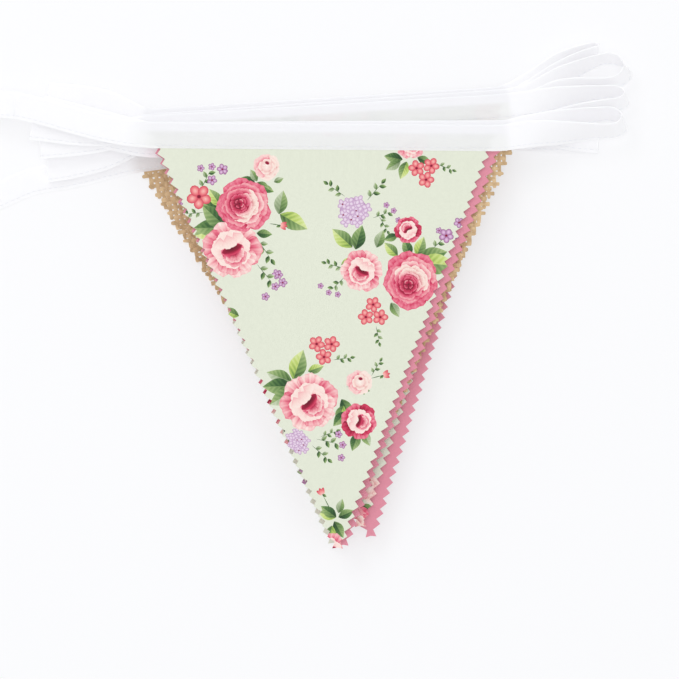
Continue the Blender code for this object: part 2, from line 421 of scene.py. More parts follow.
class Nodes:
    """A short way to write a material's nodes."""

    def __init__(self, name: str) -> None:
        """Start a material.

        Args:
            name: The material's name.
        """
        self.material = bpy.data.materials.new(name)
        self.material.use_nodes = True
        self.tree = self.material.node_tree
        self.shader = self.tree.nodes["Principled BSDF"]

    def add(self, kind: str, values: dict[str, object] | None = None, **settings: object) -> bpy.types.Node:
        """Add one node.

        Args:
            kind: The node's type, after ShaderNode.
            values: What its sockets are set or linked to, by name.
            settings: Its other settings.

        Returns:
            The node.
        """
        node = self.tree.nodes.new(f"ShaderNode{kind}")
        for key, value in settings.items():
            setattr(node, key, value)
        for key, value in (values or {}).items():
            self.put(node.inputs[key], value)
        return node

    def put(self, socket: bpy.types.NodeSocket, value: object) -> None:
        """Link a socket to another one, or set its value.

        Args:
            socket: The socket to fill.
            value: A socket or a plain value.
        """
        if isinstance(value, bpy.types.NodeSocket):
            self.tree.links.new(value, socket)
        else:
            socket.default_value = value

    def maths(self, operation: str, first: object, second: object = 0.0) -> bpy.types.NodeSocket:
        """Add one sum.

        Args:
            operation: The name of the sum.
            first: Its first number or socket.
            second: Its second one.

        Returns:
            The socket with the result.
        """
        node = self.add("Math", operation=operation)
        self.put(node.inputs[0], first)
        self.put(node.inputs[1], second)
        return node.outputs[0]

    def blend(self, share: object, first: object, second: object, how: str = "MIX") -> bpy.types.NodeSocket:
        """Add a blend of two colours.

        Args:
            share: How much of the second colour there is.
            first: The first colour or socket.
            second: The second one.
            how: The way of blending.

        Returns:
            The socket with the result.
        """
        node = self.add("Mix", data_type="RGBA", blend_type=how)
        for socket, value in zip((node.inputs[0], node.inputs[6], node.inputs[7]), (share, first, second)):
            self.put(socket, value)
        return node.outputs[2]

    def along(self, uv_name: str) -> tuple[bpy.types.NodeSocket, bpy.types.NodeSocket]:
        """Read a piece's own flat coordinates.

        Args:
            uv_name: The name of its UV map, which holds millimetres.

        Returns:
            The sockets with the first and the second coordinate.
        """
        split = self.add("SeparateXYZ", {"Vector": self.add("UVMap", uv_map=uv_name).outputs["UV"]})
        return split.outputs["X"], split.outputs["Y"]

    def ripple(self, place: object, pitch: float) -> bpy.types.NodeSocket:
        """Turn a coordinate into a wave of the given pitch."""
        return self.maths("SINE", self.maths("MULTIPLY", place, 2 * math.pi / pitch))

    def speckle(self, scale: float, detail: float = 2.0, roughness: float = 0.5) -> bpy.types.NodeSocket:
        """Add a fine random pattern from 0 to 1."""
        values = {"Scale": scale, "Detail": detail, "Roughness": roughness}
        return self.add("TexNoise", values).outputs["Fac"]

    def shaded(self, colour: object, tone: object) -> bpy.types.NodeSocket:
        """Make a colour lighter or darker by a tone around 1.

        Args:
            colour: The socket with the colour.
            tone: The socket with the tone.

        Returns:
            The socket with the shaded colour.
        """
        grey = self.add("CombineColor", {"Red": tone, "Green": tone, "Blue": tone})
        return self.blend(1.0, colour, grey.outputs[0], "MULTIPLY")

    def finish(self, values: dict[str, object]) -> bpy.types.Material:
        """Fill the shader's sockets and hand over the material.

        Args:
            values: What the sockets are set or linked to, by name.

        Returns:
            The material.
        """
        for key, value in values.items():
            self.put(self.shader.inputs[key], value)
        return self.material

    def relief(self, height: object, strength: float, depth: float) -> None:
        """Give the material a bump.

        Args:
            height: The socket with the height, about 0 to 1.
            strength: How strong the bump is.
            depth: Its depth in metres.
        """
        bump = self.add("Bump", {"Height": height, "Strength": strength, "Distance": depth})
        self.put(self.shader.inputs["Normal"], bump.outputs["Normal"])


UV_NAME = "cloth"


@dataclass(frozen=True)
class CottonFinish:
    """Fine cotton twill, printed or dyed, whose colour is kept on the mesh."""

    name: str
    attribute: str
    twill: float = 0.85
    yarn: float = 0.55
    roughness: float = 0.88
    sheen: float = 0.18
    mottle: float = 0.10
    cloud_scale: float = 90.0
    slub_scale: float = 1400.0
    line_tone: float = 0.012

    def material(self) -> bpy.types.Material:
        """Build the material.

        Returns:
            The cotton's material.
        """
        nodes = Nodes(self.name)
        u, v = nodes.along(UV_NAME)
        slant = nodes.ripple(nodes.maths("ADD", u, v), self.twill)
        yarns = nodes.ripple(nodes.maths("SUBTRACT", v, nodes.maths("MULTIPLY", u, 0.35)), self.yarn)
        cloud = nodes.speckle(self.cloud_scale, 4.0, 0.6)
        slub = nodes.speckle(self.slub_scale)
        dyed = nodes.add("Attribute", attribute_name=self.attribute).outputs["Color"]
        tone = 1.0
        for speckle in (cloud, slub):
            uneven = nodes.maths("MULTIPLY", nodes.maths("SUBTRACT", speckle, 0.5), self.mottle)
            tone = nodes.maths("ADD", tone, uneven)
        tone = nodes.maths("ADD", tone, nodes.maths("MULTIPLY", slant, self.line_tone))
        weave = nodes.maths("ADD", nodes.maths("MULTIPLY", slant, 0.5), nodes.maths("MULTIPLY", yarns, 0.2))
        nodes.relief(nodes.maths("ADD", weave, slub), 0.35, 0.00012)
        return nodes.finish({
            "Base Color": nodes.shaded(dyed, tone),
            "Roughness": self.roughness,
            "Sheen Weight": self.sheen,
            "Sheen Roughness": 0.5,
        })


@dataclass(frozen=True)
class JuteFinish:
    """Coarse jute yarn, uneven in colour along each thread, with painted light and shade from the weave's
    crests and dips carried in its tone.
    """

    name: str = "jute"
    dark: Colour = linear(160, 124, 86)
    light: Colour = linear(236, 206, 162)
    slub_scale: float = 420.0
    fibre_scale: float = 5200.0
    roughness: float = 0.92

    def material(self) -> bpy.types.Material:
        """Build the material.

        Returns:
            The jute's material.
        """
        nodes = Nodes(self.name)
        # The tone holds each thread's own colour plus painted light and shade: lighter on the weave's
        # crests, darker in its dips.
        tone = nodes.add("Attribute", attribute_name="tone").outputs["Fac"]
        slub = nodes.speckle(self.slub_scale, 4.0, 0.7)
        fibres = nodes.speckle(self.fibre_scale)
        share = nodes.maths("ADD", nodes.maths("MULTIPLY", tone, 0.55), nodes.maths("MULTIPLY", slub, 0.6))
        colour = nodes.blend(share, (*self.dark, 1.0), (*self.light, 1.0))
        specked = nodes.blend(nodes.maths("MULTIPLY", fibres, 0.35), colour, (*self.light, 1.0))
        nodes.relief(nodes.maths("ADD", fibres, slub), 0.5, 0.00015)
        return nodes.finish({"Base Color": specked, "Roughness": self.roughness})


@dataclass(frozen=True)
class TapeFinish:
    """White woven tape, a little sheer, with a faint painted glow of its own that lightens its shade, and
    painted shade where cloth lies between its leaves.
    """

    name: str = "white_tape"
    rib: float = 0.62
    roughness: float = 0.8
    sheen: float = 0.12
    sheer: float = 0.5
    # A faint glow of the tape's own, which lightens its shade: painted light, since the tape is no lamp.
    painted_glow: float = 0.15
    slub_scale: float = 1500.0

    def material(self) -> bpy.types.Material:
        """Build the material.

        Returns:
            The tape's material.
        """
        nodes = Nodes(self.name)
        u, v = nodes.along(UV_NAME)
        weave = nodes.maths("MULTIPLY", nodes.ripple(u, self.rib), nodes.ripple(v, self.rib * 0.8))
        slub = nodes.speckle(self.slub_scale)
        # The colour kept on the mesh is the tape's white, with painted shade where cloth lies between its
        # leaves.
        shaded_white = nodes.add("Attribute", attribute_name="shaded_white").outputs["Color"]
        tone = nodes.maths("ADD", 0.985, nodes.maths("MULTIPLY", weave, 0.012))
        nodes.relief(nodes.maths("ADD", weave, slub), 0.3, 0.00010)
        return nodes.finish({
            "Base Color": nodes.shaded(shaded_white, tone),
            "Roughness": self.roughness,
            "Sheen Weight": self.sheen,
            "Subsurface Weight": self.sheer,
            "Subsurface Radius": (1.0, 1.0, 1.0),
            "Subsurface Scale": MM,
            # Painted light: the tape glows faintly, which lightens its shade.
            "Emission Color": (1.0, 0.985, 1.0, 1.0),
            "Emission Strength": self.painted_glow,
        })


@dataclass(frozen=True)
class ThreadFinish:
    """White sewing thread with a fine twist."""

    name: str = "white_thread"
    colour: Colour = linear(240, 241, 245)
    roughness: float = 0.6
    twist_scale: float = 3500.0

    def material(self) -> bpy.types.Material:
        """Build the material.

        Returns:
            The thread's material.
        """
        nodes = Nodes(self.name)
        twist = nodes.speckle(self.twist_scale)
        paler = tuple(min(1.0, part * 1.06) for part in self.colour)
        nodes.relief(twist, 0.4, 0.00008)
        return nodes.finish({
            "Base Color": nodes.blend(twist, (*self.colour, 1.0), (*paler, 1.0)),
            "Roughness": self.roughness,
        })


@dataclass(frozen=True)
class FloorFinish:
    """A plain pale surface that is faintly lit from below, so that shadows on it stay light."""

    name: str = "pale_floor"
    colour: Colour = linear(188, 188, 190)
    glow: float = 0.46

    def material(self) -> bpy.types.Material:
        """Build the material.

        Returns:
            The floor's material.
        """
        return Nodes(self.name).finish({
            "Base Color": (*self.colour, 1.0),
            "Roughness": 0.95,
            "Specular IOR Level": 0.1,
            "Emission Color": (1.0, 1.0, 1.0, 1.0),
            "Emission Strength": self.glow,
        })


@dataclass(frozen=True)
class Dye:
    """Three colours of a printed petal or leaf: at its base, in its middle and at its rim."""

    base: Colour
    middle: Colour
    rim: Colour

    def at(self, share: float) -> Colour:
        """The colour at a share of the way from base to rim."""
        if share < 0.5:
            return mix(self.base, self.middle, share * 2)
        return mix(self.middle, self.rim, share * 2 - 1)


DEEP = Dye(linear(146, 10, 50), linear(212, 48, 92), linear(244, 148, 166))
ROSE = Dye(linear(182, 28, 72), linear(232, 108, 132), linear(250, 200, 200))
PALE = Dye(linear(206, 40, 86), linear(244, 164, 172), linear(253, 234, 225))
CREAM = Dye(linear(214, 118, 128), linear(248, 214, 204), linear(252, 240, 230))
CRIMSON = Dye(linear(104, 6, 36), linear(176, 20, 62), linear(222, 72, 106))
CORAL = Dye(linear(250, 198, 188), linear(240, 134, 136), linear(208, 56, 84))
BLOOD = Dye(linear(98, 4, 32), linear(128, 10, 42), linear(168, 22, 62))
DOME = Dye(linear(253, 243, 234), linear(252, 236, 226), linear(244, 198, 192))
CUP = Dye(linear(244, 178, 182), linear(250, 216, 209), linear(252, 234, 225))
LILAC = Dye(linear(240, 228, 240), linear(230, 208, 228), linear(184, 142, 186))
PLUM = Dye(linear(234, 206, 230), linear(210, 166, 206), linear(140, 72, 128))
FOREST = Dye(linear(30, 58, 34), linear(58, 98, 52), linear(112, 148, 84))
OLIVE = Dye(linear(62, 92, 50), linear(118, 150, 88), linear(170, 190, 130))
LIME = Dye(linear(110, 150, 66), linear(192, 212, 112), linear(222, 232, 170))
SAGE = Dye(linear(120, 140, 104), linear(160, 178, 138), linear(204, 214, 184))


class Axes:
    """A printed shape's own two axes, which start at its foot."""

    def __init__(self, x: float, y: float, turn: float) -> None:
        """Set the axes out on the cloth.

        Args:
            x: The foot's place.
            y: Its other coordinate.
            turn: The way that the first axis points, in degrees.
        """
        angle = math.radians(turn)
        self.x, self.y = x, y
        self.cos, self.sin = math.cos(angle), math.sin(angle)

    def out(self, a: float, b: float) -> Point:
        """The place on the cloth of a point of the shape."""
        return self.x + a * self.cos - b * self.sin, self.y + a * self.sin + b * self.cos

    def back(self, x: float, y: float) -> Point:
        """The point of the shape at a place on the cloth."""
        dx, dy = x - self.x, y - self.y
        return dx * self.cos + dy * self.sin, -dx * self.sin + dy * self.cos


@dataclass(frozen=True)
class Stamp:
    """One printed shape: its outline in the flag's plane and its colour at any point."""

    outline: list[Point]
    paint: Callable[[float, float], Colour]


@dataclass(frozen=True)
class Blade:
    """A petal or half a leaf, drawn from its foot outwards."""

    x: float
    y: float
    length: float
    width: float
    turn: float
    dye: Dye
    fullness: float = 0.62
    streak: float = 0.0
    half: int = 0
    veins: float = 36.0
    points: int = 11

    def spread(self, share: float) -> float:
        """Half of the blade's width at a share of its length."""
        power = 1.0 if self.fullness > 0.8 else 0.55
        return self.width / 2 * math.sin(math.pi * share**self.fullness) ** power

    def stamp(self) -> Stamp:
        """Draw the blade.

        Returns:
            The printed shape.
        """
        axes = Axes(self.x, self.y, self.turn)
        shares = [(1 - math.cos(math.pi * i / self.points)) / 2 for i in range(self.points + 1)]
        upper = [(s * self.length, self.spread(min(1.0, s)) if 0 < s < 1 else 0.0) for s in shares]
        lower = [(a, -b) for a, b in reversed(upper[1:-1])]
        if self.half > 0:
            ring = upper
        elif self.half < 0:
            ring = [upper[0], *lower[::-1], upper[-1]][::-1]
        else:
            ring = upper + lower

        def paint(x: float, y: float) -> Colour:
            """The colour of the blade at a point."""
            a, b = axes.back(x, y)
            share = min(1.0, max(0.0, a / self.length))
            wide = abs(b) / max(0.05, self.spread(min(0.98, max(0.02, share))))
            tone = share + 0.12 * smooth(wide * 1.5 - 0.6)
            if self.streak:
                wave = math.sin((a - 0.9 * abs(b)) / self.length * self.veins)
                tone += self.streak * wave * (1.0 - 0.5 * share)
            return self.dye.at(min(1.0, max(0.0, tone)))

        return Stamp([axes.out(a, b) for a, b in ring], paint)


@dataclass(frozen=True)
class Dot:
    """A printed oval, shaded from its middle to its rim."""

    x: float
    y: float
    wide: float
    tall: float
    turn: float
    dye: Dye
    points: int = 14

    def stamp(self) -> Stamp:
        """Draw the oval.

        Returns:
            The printed shape.
        """
        axes = Axes(self.x, self.y, self.turn)
        turns = [2 * math.pi * i / self.points for i in range(self.points)]

        def paint(x: float, y: float) -> Colour:
            """The colour of the oval at a point."""
            a, b = axes.back(x, y)
            return self.dye.at(min(1.0, math.hypot(a / self.wide, b / self.tall)))

        ring = [(self.wide * math.cos(turn), self.tall * math.sin(turn)) for turn in turns]
        return Stamp([axes.out(a, b) for a, b in ring], paint)


@dataclass(frozen=True)
class Fan:
    """A broad petal of a rose: a piece of a round, dark inside and pale along its ruffled rim."""

    x: float
    y: float
    reach: float
    turn: float
    spread: float
    dye: Dye
    inner: float = 0.6
    streak: float = 0.12
    points: int = 13

    def rim(self, share: float) -> float:
        """How far the rim is from the foot, at a share from -1 to 1 of the way across."""
        ruffle = 0.030 * math.sin(7.0 * share + self.turn) + 0.018 * math.sin(17.0 * share + self.turn)
        return self.reach * (1.0 - 0.20 * abs(share) ** 3.2 + ruffle)

    def stamp(self) -> Stamp:
        """Draw the petal.

        Returns:
            The printed shape.
        """
        centre = math.radians(self.turn)
        outline = [(self.x, self.y)]
        for i in range(self.points):
            share = 2 * i / (self.points - 1) - 1
            angle, reach = centre + math.radians(self.spread) * share, self.rim(share)
            outline.append((self.x + reach * math.cos(angle), self.y + reach * math.sin(angle)))

        def paint(x: float, y: float) -> Colour:
            """The colour of the petal at a point."""
            dx, dy = x - self.x, y - self.y
            angle = (math.degrees(math.atan2(dy, dx)) - self.turn + 180.0) % 360.0 - 180.0
            share = min(1.0, max(-1.0, angle / self.spread))
            out = math.hypot(dx, dy) / self.rim(share)
            tone = (out - self.inner) / (1.0 - self.inner)
            tone -= 0.42 * smooth(abs(share) * 2.2 - 1.2)
            across = share * self.spread
            wave = 0.6 * math.sin(0.37 * across + self.turn)
            wave += 0.4 * math.sin(0.83 * across + 2.0 * self.turn)
            tone += self.streak * wave * (1.6 - tone)
            if out > 0.955:
                tone -= 0.22
            return self.dye.at(min(1.0, max(0.0, tone)))

        return Stamp(outline, paint)


class Motif(Enum):
    """The flowers and leaves of the print."""

    FULL_ROSE = "full rose"
    OPEN_ROSE = "open rose"
    PALE_ROSE = "pale open rose"
    RED_ROSE = "red rose"
    ROSEBUD = "rosebud"
    CORAL = "coral flower"
    CORAL_TRIO = "three coral flowers"
    CLUSTER = "lilac cluster"
    PLUM = "plum flower"
    DARK_LEAF = "dark leaf"
    OLIVE_LEAF = "olive leaf"
    LIME_LEAF = "lime leaf"
    SPRIG = "leafy sprig"
    PLUM_SPRIG = "sprig with plum flowers"
    CORAL_BUD = "coral bud"


# The dyes of the motifs that are drawn alike.
DYED: dict[Motif, tuple[Dye | None, ...]] = {
    Motif.OPEN_ROSE: (ROSE, PALE),
    Motif.PALE_ROSE: (PALE, ROSE),
    Motif.RED_ROSE: (DEEP, CRIMSON),
    Motif.CORAL: (CORAL,),
    Motif.PLUM: (PLUM,),
    Motif.DARK_LEAF: (FOREST, OLIVE),
    Motif.OLIVE_LEAF: (OLIVE, SAGE),
    Motif.LIME_LEAF: (OLIVE, LIME),
    Motif.SPRIG: (None,),
    Motif.PLUM_SPRIG: (PLUM,),
}


@dataclass(frozen=True)
class Placed:
    """A motif's place on the printed cloth, its size and its turn, clockwise from the right."""

    motif: Motif
    x: float
    y: float
    size: float
    turn: float = 0.0


class Painter:
    """Draws the motifs as stamps, from the cloth up."""

    def __init__(self) -> None:
        """Start with a bare cloth."""
        self.stamps: list[Stamp] = []
        self.chance = random.Random(7)

    def blade(self, *values: object, **named: object) -> None:
        """Add one blade."""
        self.stamps.append(Blade(*values, **named).stamp())

    def dot(self, *values: object) -> None:
        """Add one oval."""
        self.stamps.append(Dot(*values).stamp())

    def fan(self, *values: object) -> None:
        """Add one broad petal."""
        self.stamps.append(Fan(*values).stamp())

    def leaf(self, x: float, y: float, size: float, turn: float, dark: Dye, light: Dye) -> None:
        """Add a leaf in two halves, with its foot at a point.

        Args:
            x: The foot's place.
            y: Its other coordinate.
            size: The leaf's length.
            turn: The way that it points.
            dark: The colours of its dark half.
            light: The colours of its light half.
        """
        for half, dye in ((1, dark), (-1, light)):
            self.blade(x, y, size, size * 0.56, turn, dye, fullness=0.86, streak=0.22, half=half)

    def stem(self, x: float, y: float, length: float, turn: float, width: float = 0.42) -> None:
        """Add a thin stem."""
        self.blade(x, y, length, width, turn, FOREST, fullness=0.9, points=4)

    def fans(self, x: float, y: float, count: int, reach: float, spread: float, turn: float,
             dyes: tuple[Dye, Dye], pale_side: float, inner: float = 0.6, streak: float = 0.12) -> None:
        """Add a ring of broad petals whose colour changes from one side to the other.

        Args:
            x: The ring's middle.
            y: Its other coordinate.
            count: The number of petals.
            reach: How far they reach.
            spread: Half the angle that each spans, in degrees.
            turn: The turn of the first one.
            dyes: The colours on the dark side and on the pale one.
            pale_side: The direction of the pale side.
            inner: Where their shadow ends, as a share of their reach.
            streak: How strongly they are streaked.
        """
        order = sorted(range(count), key=lambda k: (k * 7) % count)
        for k in order:
            angle = turn + 360 * k / count + self.chance.uniform(-6, 6)
            pale = math.cos(math.radians(angle - pale_side)) > 0.15
            long = reach * self.chance.uniform(0.93, 1.05)
            wide = spread * self.chance.uniform(0.92, 1.1)
            self.fan(x, y, long, angle, wide, dyes[pale], inner, streak)

    def full_rose(self, x: float, y: float, r: float, turn: float) -> None:
        """A round, many-petalled rose with a crimson heart, paler on one side."""
        drift = polar(0.0, 0.0, 0.17 * r, turn + 180)
        self.fans(x, y, 5, r, 44, turn + 10, (DEEP, DEEP), turn, 0.55, 0.2)
        self.fans(x, y, 6, 0.88 * r, 42, turn + 40, (DEEP, ROSE), turn, 0.6, 0.14)
        layers = ((0.77, (ROSE, PALE)), (0.66, (DEEP, CREAM)), (0.56, (ROSE, CREAM)), (0.47, (DEEP, PALE)))
        for k, (reach, dyes) in enumerate(layers, 1):
            place = (x + drift[0] * k / 4, y + drift[1] * k / 4)
            self.fans(*place, 6, reach * r, 40, turn + 31 * k, dyes, turn, 0.7, 0.05)
        heart = (x + drift[0], y + drift[1])
        self.dot(*heart, 0.37 * r, 0.35 * r, turn, BLOOD)
        rings = ((0.35, 6, (DEEP, DEEP)), (0.26, 5, (CRIMSON, DEEP)), (0.17, 4, (DEEP, ROSE)))
        for reach, count, dyes in rings:
            self.fans(*heart, count, reach * r, 38, turn + 90 * reach, dyes, turn, 0.62, 0.05)
        self.dot(*heart, 0.07 * r, 0.05 * r, turn, BLOOD)

    def open_rose(self, x: float, y: float, r: float, turn: float, outer: Dye, lip: Dye) -> None:
        """An open rose: ruffled outer petals around a pale cup whose crimson mouth lies to one side."""
        axes = Axes(x, y, turn)

        def at(along: float, across: float) -> Point:
            """The place of a point of the rose, given as shares of its size."""
            return axes.out(along * r, across * r)

        around = ((180, 0.98, outer), (128, 1.0, lip), (-128, 0.97, outer), (64, 0.98, outer),
                  (-66, 1.0, lip), (0, 0.94, outer), (30, 0.84, lip), (-32, 0.86, outer))
        for angle, reach, dye in around:
            self.fan(*at(0.0, 0.0), reach * r, turn + angle, 37, dye, 0.44, 0.24)
        self.fans(*at(-0.02, 0.0), 7, 0.66 * r, 33, turn + 12, (CUP, CUP), turn, 0.2, 0.10)
        self.fans(*at(0.02, 0.02), 6, 0.56 * r, 38, turn + 40, (CUP, CUP), turn, 0.5, 0.12)
        mouth = ((0.16, 0.42, (DEEP, ROSE)), (0.12, 0.35, (DEEP, PALE)), (0.09, 0.27, (DEEP, ROSE)))
        for along, reach, dyes in mouth:
            self.fans(*at(along, 0.0), 6, reach * r, 38, turn + 300 * reach, dyes, turn, 0.5, 0.10)
        self.dot(*at(0.02, 0.0), 0.16 * r, 0.33 * r, turn, CRIMSON)
        self.dot(*at(-0.02, 0.0), 0.12 * r, 0.36 * r, turn, BLOOD)
        for across, angle, reach in ((0.24, 16, 0.40), (-0.24, -18, 0.38), (0.0, 0, 0.47)):
            self.fan(*at(-0.52, across), reach * r, turn + angle, 46, CUP, 0.0, 0.06)

    def rosebud(self, x: float, y: float, r: float, turn: float) -> None:
        """A pale, closed rose with a small dark eye."""
        self.fans(x, y, 6, r, 42, turn, (PALE, CREAM), turn, 0.5, 0.1)
        self.fans(x, y, 4, 0.82 * r, 50, turn + 30, (PALE, CREAM), turn, 0.55, 0.1)
        self.fans(x, y, 4, 0.62 * r, 52, turn + 75, (CREAM, CREAM), turn, 0.4, 0.05)
        self.dot(x, y - 0.05 * r, 0.42 * r, 0.40 * r, turn, DOME)
        self.dot(x + 0.05 * r, y - 0.28 * r, 0.17 * r, 0.12 * r, turn, BLOOD)

    def flower(self, x: float, y: float, r: float, turn: float, dye: Dye) -> None:
        """A small flower with five round petals and a dark eye."""
        for k in range(5):
            angle = turn + 360 * k / 5
            self.dot(*polar(x, y, 0.55 * r, angle), 0.46 * r, 0.40 * r, angle, dye, 10)
        self.dot(x, y, 0.17 * r, 0.15 * r, 0.0, BLOOD, 8)

    def cluster(self, x: float, y: float, r: float, turn: float) -> None:
        """A round head of many tiny lilac flowers."""
        count = 15
        self.dot(x, y, 0.80 * r, 0.74 * r, 0.0, LILAC)
        for k in range(count):
            reach = r * 0.80 * math.sqrt((k + 0.5) / count)
            place = (x + reach * math.cos(turn + k * 2.4), y + reach * math.sin(turn + k * 2.4))
            for petal in range(4):
                angle = math.pi / 2 * petal + k
                end = (place[0] + 0.15 * r * math.cos(angle), place[1] + 0.15 * r * math.sin(angle))
                self.dot(*end, 0.17 * r, 0.13 * r, math.degrees(angle), LILAC, 8)
            if k % 3 == 0:
                self.dot(*place, 0.06 * r, 0.05 * r, 0.0, BLOOD, 5)

    def sprig(self, x: float, y: float, size: float, turn: float, blooms: Dye | None) -> None:
        """A thin stem with pairs of small leaves, and flowers at its end if a colour is given."""
        self.stem(x, y, size, turn, 0.34)
        for k, share in enumerate((0.25, 0.45, 0.65, 0.85)):
            side, dyes = (52, (FOREST, OLIVE)) if k % 2 else (-52, (OLIVE, SAGE))
            self.leaf(*polar(x, y, size * share, turn), size * 0.32, turn + side, *dyes)
        if blooms is None:
            self.leaf(*polar(x, y, size, turn), size * 0.3, turn, FOREST, OLIVE)
            return
        for k in range(3):
            place = polar(x, y, size * (1.0 + 0.18 * k), turn + 24 * (k - 1))
            self.flower(*place, size * 0.17, 70 * k, blooms)

    def draw(self, placed: Placed) -> None:
        """Draw one motif of the print.

        Args:
            placed: The motif and its place.
        """
        given = (placed.x, placed.y, placed.size, placed.turn)
        x, y, size, turn = given
        match placed.motif:
            case Motif.FULL_ROSE:
                self.full_rose(*given)
            case Motif.OPEN_ROSE | Motif.PALE_ROSE | Motif.RED_ROSE:
                self.open_rose(*given, *DYED[placed.motif])
            case Motif.ROSEBUD:
                self.rosebud(*given)
            case Motif.CORAL | Motif.PLUM:
                self.flower(*given, *DYED[placed.motif])
            case Motif.CORAL_TRIO:
                for k in range(3):
                    self.flower(*polar(x, y, size * 0.62, turn + 120 * k), size * 0.6, 40 * k, CORAL)
            case Motif.CLUSTER:
                self.cluster(*given)
            case Motif.DARK_LEAF | Motif.OLIVE_LEAF | Motif.LIME_LEAF:
                self.leaf(*given, *DYED[placed.motif])
            case Motif.SPRIG | Motif.PLUM_SPRIG:
                self.sprig(*given, *DYED[placed.motif])
            case Motif.CORAL_BUD:
                self.stem(*given)
                end = polar(x, y, size, turn)
                for spread in (-34, 34, 0):
                    self.blade(*end, 3.2, 1.9, turn + spread, CORAL)
                self.leaf(*end, 2.4, turn + 150, FOREST, OLIVE)


